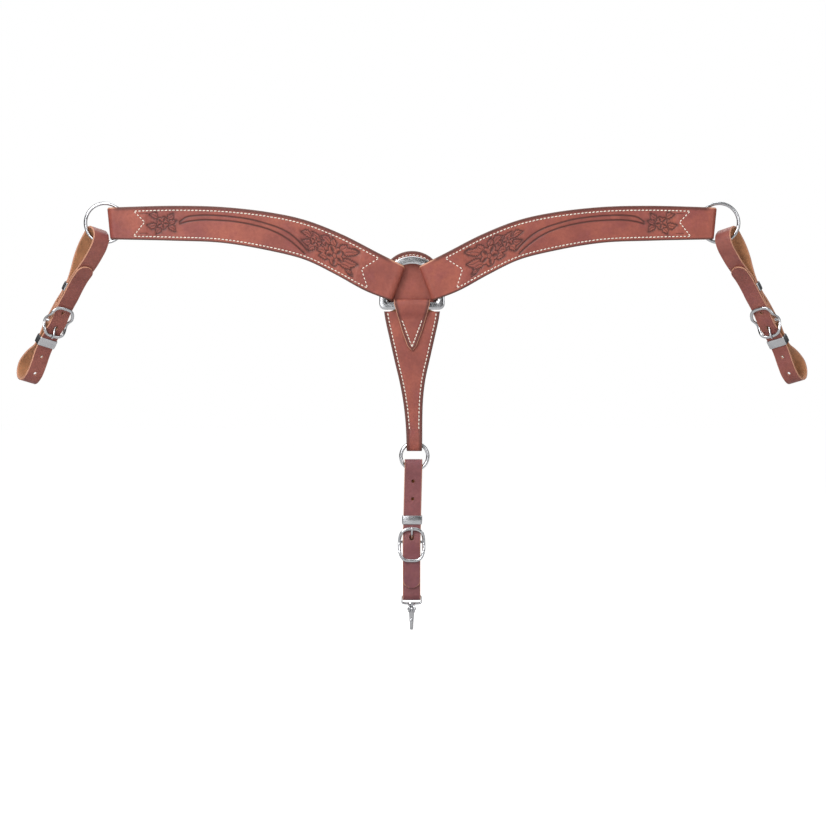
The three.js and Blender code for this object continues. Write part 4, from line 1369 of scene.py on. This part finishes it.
def build_centre_strap():
    """The centre strap between the lower ring and the snap, with its buckle, tongue and keeper."""
    z = lambda x: x - BAR_Z
    holes = [(z(-285), 4.6, HOLE_R), (z(-310.4), 4, HOLE_R), (z(-364.3), 6.4, 3.4), (z(-366.3), 6.6, 3.2)]
    build_buckled_strap(
        "centre_strap_leather", centre_carry, strap_points(CENTRE_LINE, BAR_Z), holes, "centre_grain",
        "center_strap", "center_strap"
    )
    build_buckle("centre", centre_carry, "center_strap", "center_tongue", "center_buckle", "center_tongue")
    build_keeper(
        "centre_keeper_metal", centre_carry, z(-340.5), *KEEPER_SPAN, "center_keeper", "center_keeper"
    )


def snap_carry(t, q, d):
    """Frame of the snap: across, height, and forward of its middle plane."""
    t, q, d = np.broadcast_arrays(t, q, d)
    return np.stack([SNAP_X + t, SNAP_Y - d, q], -1)


def swept_plate(line, wide, deep, square=0.6):
    """A bar swept along a line in the snap's (forward, height) plane: half-width across the strap and
    half-depth in the plane change along it, and its section is a squared oval."""
    slope = slopes(line)
    v = circle(24)
    t = power(np.cos(v), square) * np.asarray(wide)[:, None]
    e = power(np.sin(v), square) * np.asarray(deep)[:, None]
    g = snap_carry(t, line[:, 1:] + slope[:, :1] * e, line[:, :1] - slope[:, 1:] * e)
    return solid(g)


def build_snap():
    """The snap: a square eye for the strap, a body with two cheeks that narrows into the hook, the
    sprung gate and the rivet it turns on."""
    w = circle(120)
    eye = np.stack([13.75 * power(np.cos(w), 0.3), -454.1 + 5.9 * power(np.sin(w), 0.34)], 1)
    way = headings(eye)
    v = circle(16)
    low = ease((-456 - eye[:, 1]) / 4)[:, None]
    off, dep = power(np.cos(v), 0.8) * (0.85 + 0.9 * low), power(np.sin(v), 0.8) * (1.7 + 0.4 * low)
    g = snap_carry(eye[:, :1] + way[:, 1:] * off, eye[:, 1:] - way[:, :1] * off, dep)
    parts = [solid(g, True)]
    k = np.linspace(math.pi, 2 * math.pi - 0.02, 26)
    bend_r, bend_z = 7.35, -488.6
    hook = evenly(
        np.vstack(
            [
                through(
                    [
                        (-1.3, -459.8), (-2.0, -464.5), (-4.4, -471), (-6.6, -478), (-7.25, -484),
                        (-7.35, -487.6)
                    ]
                ),
                np.stack([bend_r * np.cos(k), bend_z + bend_r * np.sin(k)], 1)[1:],
                [(7.45, -485), (7.5, -480.9)],
            ]
        ),
        0.5,
    )
    h = hook[:, 1]
    past = np.arange(len(hook)) > np.argmin(h)
    wide = np.interp(-h, [459, 466, 476, 488, 498], [5.0, 4.7, 3.8, 2.9, 2.5]) * drawn_in(len(hook), 6, False)
    wide = np.where(past, np.minimum(wide, 2.7), wide)
    deep = np.interp(
        -h, [459, 464, 470, 478, 484, 498], [3.2, 3.6, 3.0, 2.2, 1.9, 1.9]
    ) * drawn_in(len(hook), 6, False)
    deep = np.where(past, np.minimum(deep, 1.75 * drawn_in(len(hook), 6, False)), deep)
    parts.append(swept_plate(hook, wide, deep, 0.75))
    cheek_out, cheek_in = 5.2, 2.4
    for s in (-1, 1):
        outline = through(
            [
                (-2.6, -459.5), (-2.6, -465), (-0.5, -470), (4, -472.4), (8.2, -471), (9.2, -467),
                (8, -462.5), (4.5, -459.6), (-2.6, -459.5)
            ],
            8
        )[:-1]
        mid = outline.mean(0)
        rings = [(0.0, 0.0), (0.55, 0.0), (0.85, 0.05), (1.0, 0.45), (1.0, 1.0)]
        steps = [(k, cheek_out - dx) for k, dx in rings] + [(1.0, 2.75), (0.9, cheek_in), (0.0, cheek_in)]
        shrunk = [(s * x, mid + (outline - mid) * max(k, 0.01)) for k, x in steps]
        parts.append(solid(np.stack([snap_carry(x, at[:, 1], at[:, 0]) for x, at in shrunk])))
    collar = np.linspace(0, 1, 15)
    q = -461.9 + 3.6 * collar
    fat = 0.82 + 0.18 * np.sin(collar * math.pi)
    v = circle(40)
    g = snap_carry(
        power(np.cos(v), 0.7) * 5.2 * fat[:, None], q[:, None],
        0.4 + power(np.sin(v), 0.8) * 3.4 * fat[:, None]
    )
    parts.append(solid(g))
    metal_piece("snap_body_metal", merge(parts), "snap", "snap_body")

    lever = evenly(through([(5.2, -465.6), (5.0, -470), (4.3, -476), (3.9, -481), (3.7, -484.9)]), 0.4)
    grow = np.interp(-lever[:, 1], [465, 468, 472, 484], [2.4, 2.3, 1.5, 1.05]) * drawn_in(len(lever), 4)
    bar = swept_plate(lever, 2.05 * drawn_in(len(lever), 3), grow, 0.7)
    barrel = rod(snap_carry, (-2.1, SNAP_PIN[1], SNAP_PIN[0]), (2.1, SNAP_PIN[1], SNAP_PIN[0]), 2.6, 36)
    metal_piece("snap_gate_metal", merge([bar, barrel]), "snap_gate", "snap_gate")

    x = np.array([-6.3, -6.28, -6.1, -5.8, -5.4, -5.2, -5.2, 5.2, 5.2, 5.4, 5.8, 6.1, 6.28, 6.3])
    r = np.array([0.05, 0.8, 1.5, 1.9, 2.05, 2.0, 1.2, 1.2, 2.0, 2.05, 1.9, 1.5, 0.8, 0.05])
    v = circle(28)
    g = snap_carry(
        x[:, None] + 0 * v, SNAP_PIN[1] + r[:, None] * np.cos(v), SNAP_PIN[0] + r[:, None] * np.sin(v)
    )
    metal_piece("snap_rivet_metal", solid(g), "snap", "snap_rivet")


def build_stage(stage):
    """A plain pale floor under the piece, even pale surroundings, soft lamps and the camera."""
    scene = bpy.context.scene
    lo, _ = CAD_BOX
    w = circle(96)
    r = np.array([0.01, 2.0, 12.0, 60.0])[:, None] * 1000
    g = np.stack([r * np.cos(w), r * np.sin(w), 0 * r + (lo.z - stage.floor_gap) * 1000 + 0 * w], -1)
    quads, caps = shell(g)
    pale, tree, shader, place = start_finish("pale_floor")
    tone = blend_colour(tree, noise(tree, place, 3.0, 2.0), (0.6, 0.6, 0.6, 1), (0.63, 0.63, 0.63, 1))
    fill(tree, shader, {"Base Color": tone, "Roughness": 0.9, "Specular IOR Level": 0.1})
    lit = node(tree, "Emission", {"Color": (1, 1, 1, 1), "Strength": stage.floor_lift}).outputs[0]
    both = node(tree, "AddShader", {0: shader.outputs[0], 1: lit}).outputs[0]
    seen = node(tree, "LightPath").outputs["Is Camera Ray"]
    shown = node(tree, "MixShader", {0: seen, 1: shader.outputs[0], 2: both}).outputs[0]
    tree.links.new(shown, tree.nodes["Material Output"].inputs["Surface"])
    floor = new_piece("stage_floor", g.reshape(-1, 3), quads, [caps[0]], [pale])

    world = bpy.data.worlds.new("pale_room")
    world.use_nodes = True
    tree = world.node_tree
    tree.nodes.clear()
    sky = node(tree, "TexCoord").outputs["Generated"]
    height = node(tree, "SeparateXYZ", {0: sky}).outputs[2]
    band = between(tree, node(tree, "Math", {0: height, 1: 0.1}, operation="SUBTRACT").outputs[0], -1.0, 1.0)
    ramp = node(tree, "ValToRGB", {0: band})
    ramp.color_ramp.elements[0].position, ramp.color_ramp.elements[0].color = 0.3, (0.5, 0.5, 0.5, 1)
    ramp.color_ramp.elements[1].position, ramp.color_ramp.elements[1].color = 0.78, (0.8, 0.8, 0.8, 1)
    for at in (0.4, 0.52):
        dark = ramp.color_ramp.elements.new(at)
        dark.color = (stage.horizon,) * 3 + (1,)
    lit = node(tree, "Background", {"Color": ramp.outputs[0], "Strength": stage.room})
    seen = node(tree, "Background", {"Color": (1, 1, 1, 1), "Strength": 1.0})
    path = node(tree, "LightPath").outputs["Is Camera Ray"]
    mix = node(tree, "MixShader", {0: path, 1: lit.outputs[0], 2: seen.outputs[0]})
    node(tree, "OutputWorld", {"Surface": mix.outputs[0]})
    scene.world = world

    centre = np.array((0.0, -0.01, -0.19))
    for name, spot, size, power_ in (
        ("key_softbox", (-1.5, -2.2, 1.6), 1.6, stage.key),
        ("fill_softbox", (1.9, -2.0, 0.5), 1.4, stage.fill),
        ("back_softbox", (0.3, 2.4, 1.5), 1.8, stage.back),
        ("top_softbox", (0.0, -0.2, 2.3), 1.6, stage.top),
        ("front_card", (-0.9, -3.4, 0.25), 1.1, stage.card),
    ):
        data = bpy.data.lights.new(name, "AREA")
        data.shape, data.size, data.energy = "SQUARE", size, power_
        lamp = bpy.data.objects.new(name, data)
        aim = np.array(spot) - centre
        lamp.location = spot
        lamp.rotation_euler = Vector(aim).to_track_quat("Z", "Y").to_euler()
        scene.collection.objects.link(lamp)

    data = bpy.data.cameras.new("front_camera")
    data.sensor_width, data.lens = 36.0, stage.lens
    reach = stage.frame_width / 2 / math.tan(math.atan(data.sensor_width / 2 / data.lens))
    camera = bpy.data.objects.new("front_camera", data)
    camera.location = (stage.aim_x, -reach - 0.013, stage.aim_z)
    camera.rotation_euler = (math.pi / 2, 0, 0)
    data.clip_end = 200.0
    scene.collection.objects.link(camera)
    scene.camera = camera
    scene.view_settings.view_transform = "Standard"
    scene.view_settings.look = "None"


# ================================================================ the add-on


def colour_prop(name, description, default):
    """A colour with no alpha."""
    return bpy.props.FloatVectorProperty(
        name=name, description=description, default=default, size=3, min=0, max=1, subtype="COLOR"
    )


def number_prop(name, description, default, **limits):
    """A number at or above nothing, unless its limits say otherwise."""
    return bpy.props.FloatProperty(
        name=name, description=description, default=default, **{"min": 0, **limits}
    )


def length_prop(name, description, default):
    """A length in metres."""
    return bpy.props.FloatProperty(name=name, description=description, default=default, unit="LENGTH")


def power_prop(name, description, default):
    """The power of a lamp."""
    return number_prop(name, description, default, unit="POWER")


def share_prop(name, description, default):
    """A number from 0 to 1."""
    return number_prop(name, description, default, max=1, subtype="FACTOR")


class BreastplateLeather(bpy.types.PropertyGroup):
    """Colours of the leather."""

    arm_colour: colour_prop(
        "Arms and drop", "Grain colour of the arms, the safe and the drop", (0.245, 0.058, 0.042)
    )
    arm_warm: colour_prop("Arms, warm tone", "Warmer cloud in that grain", (0.37, 0.096, 0.06))
    tug_colour: colour_prop("Tugs", "Grain colour of the tugs", (0.225, 0.063, 0.05))
    tug_warm: colour_prop("Tugs, warm tone", "Warmer cloud in the tugs' grain", (0.31, 0.098, 0.074))
    centre_colour: colour_prop("Centre strap", "Grain colour of the centre strap", (0.165, 0.047, 0.052))
    centre_warm: colour_prop(
        "Centre strap, warm tone", "Warmer cloud in the centre strap's grain", (0.235, 0.072, 0.074)
    )
    lining_colour: colour_prop("Lining", "Colour of the side that lies on the horse", (0.36, 0.17, 0.09))
    flesh_colour: colour_prop("Flesh side", "Undyed flesh side inside the loops", (0.54, 0.25, 0.12))
    cut_colour: colour_prop("Cut edges", "Raw edges of the straps", (0.56, 0.27, 0.17))
    burnished_colour: colour_prop("Burnished edges", "Rubbed and dyed edges of the arms", (0.13, 0.05, 0.035))


class BreastplateThread(bpy.types.PropertyGroup):
    """Sizes and colour of the stitching."""

    pitch: length_prop("Pitch", "Length of one stitch, hole to hole", 0.0054)
    length: length_prop("Showing", "Length of thread that shows in each stitch", 0.0042)
    width: length_prop("Thread", "Thickness of the thread", 0.0015)
    colour: colour_prop("Colour", "Colour of the thread", (0.86, 0.8, 0.7))


class BreastplateMetal(bpy.types.PropertyGroup):
    """Finish of the hardware."""

    colour: colour_prop("Colour", "Colour of the stainless steel", (0.58, 0.585, 0.605))
    roughness: share_prop("Roughness", "How soft the polish is", 0.14)


class BreastplateStage(bpy.types.PropertyGroup):
    """Floor, light and camera."""

    floor_gap: length_prop("Floor gap", "Floor below the lowest point", 0.02)
    floor_lift: number_prop("Floor lift", "How much paler the floor looks than its own light makes it", 0.8)
    room: number_prop("Room light", "Strength of the light from all round", 0.5)
    horizon: share_prop("Horizon", "Brightness of the room's middle band", 0.05)
    key: power_prop("Key", "Power of the key softbox", 78.0)
    fill: power_prop("Fill", "Power of the fill softbox", 18.0)
    back: power_prop("Back", "Power of the softbox behind", 16.0)
    top: power_prop("Top", "Power of the softbox overhead", 22.0)
    card: power_prop("Card", "Power of the card beside the camera", 20.0)
    lens: number_prop("Lens", "Focal length in millimetres", 120.0, min=1)
    frame_width: length_prop("Frame width", "Width seen at the object", 1.18)
    aim_x: length_prop("Aim across", "Middle of the picture across the object", 0.0014)
    aim_z: length_prop("Aim height", "Middle of the picture in height", -0.1877)


class BuildSafe(bpy.types.Operator):
    """Make the round safe of two sewn plies."""

    bl_idname = "breastplate.safe"
    bl_label = "Safe"

    def execute(self, context):
        build_safe()
        return {"FINISHED"}


class BuildDee(bpy.types.Operator):
    """Make the centre dee."""

    bl_idname = "breastplate.dee"
    bl_label = "Dee"

    def execute(self, context):
        build_dee()
        return {"FINISHED"}


class BuildRings(bpy.types.Operator):
    """Make the two outer rings and the lower ring."""

    bl_idname = "breastplate.rings"
    bl_label = "Rings"

    def execute(self, context):
        for word, side in (("right", 1), ("left", -1)):
            build_ring(
                f"{word}_ring_metal", (side * RING_X, METAL_Y, RING_Z), RING_R, f"{word}_ring",
                f"{word}_outer_ring"
            )
        build_ring("lower_ring_metal", LOW_RING, LOW_RING_R, "lower_ring", "lower_ring")
        return {"FINISHED"}


class BuildArms(bpy.types.Operator):
    """Make both arms: tooled face, lining and stitching."""

    bl_idname = "breastplate.arms"
    bl_label = "Arms"

    def execute(self, context):
        for side in (1, -1):
            build_arm(side)
        return {"FINISHED"}


class BuildDrop(bpy.types.Operator):
    """Make the tapered drop with its lining, tab and stitching."""

    bl_idname = "breastplate.drop"
    bl_label = "Drop"

    def execute(self, context):
        build_drop()
        return {"FINISHED"}


class BuildTugs(bpy.types.Operator):
    """Make both buckled tugs."""

    bl_idname = "breastplate.tugs"
    bl_label = "Tugs"

    def execute(self, context):
        for side in (1, -1):
            build_tug(side)
        return {"FINISHED"}


class BuildCentreStrap(bpy.types.Operator):
    """Make the buckled centre strap."""

    bl_idname = "breastplate.centre_strap"
    bl_label = "Centre strap"

    def execute(self, context):
        build_centre_strap()
        return {"FINISHED"}


class BuildSnap(bpy.types.Operator):
    """Make the snap with its gate and rivet."""

    bl_idname = "breastplate.snap"
    bl_label = "Snap"

    def execute(self, context):
        build_snap()
        return {"FINISHED"}


class BuildStage(bpy.types.Operator):
    """Make the floor, the lights and the camera."""

    bl_idname = "breastplate.stage"
    bl_label = "Stage"

    def execute(self, context):
        build_stage(context.scene.breastplate_stage)
        return {"FINISHED"}


STEPS = (
    BuildStage, BuildSafe, BuildDee, BuildRings, BuildArms, BuildDrop, BuildTugs, BuildCentreStrap, BuildSnap
)
GROUPS = {
    "breastplate_leather": BreastplateLeather,
    "breastplate_thread": BreastplateThread,
    "breastplate_metal": BreastplateMetal,
    "breastplate_stage": BreastplateStage,
}


class BreastplatePanel(bpy.types.Panel):
    """Lists the sizes, the colours and the steps that make the breastplate."""

    bl_idname = "VIEW3D_PT_breastplate"
    bl_label = "Breastplate"
    bl_space_type = "VIEW_3D"
    bl_region_type = "UI"
    bl_category = "Breastplate"

    def draw(self, context):
        for key, group in GROUPS.items():
            box = self.layout.box()
            box.label(text=group.__doc__.rstrip("."))
            for field in group.__annotations__:
                box.prop(getattr(context.scene, key), field)
        for step in STEPS:
            self.layout.operator(step.bl_idname)


def register():
    """Adds the classes and hangs their settings on the scene."""
    for item in (*GROUPS.values(), *STEPS, BreastplatePanel):
        bpy.utils.register_class(item)
    for key, group in GROUPS.items():
        setattr(bpy.types.Scene, key, bpy.props.PointerProperty(type=group))


def unregister():
    """Takes them away again."""
    for key in GROUPS:
        delattr(bpy.types.Scene, key)
    for item in reversed((*GROUPS.values(), *STEPS, BreastplatePanel)):
        bpy.utils.unregister_class(item)


def main():
    register()
    for step in STEPS:
        area, call = step.bl_idname.split(".")
        getattr(getattr(bpy.ops, area), call)()


if __name__ == "__main__":
    main()
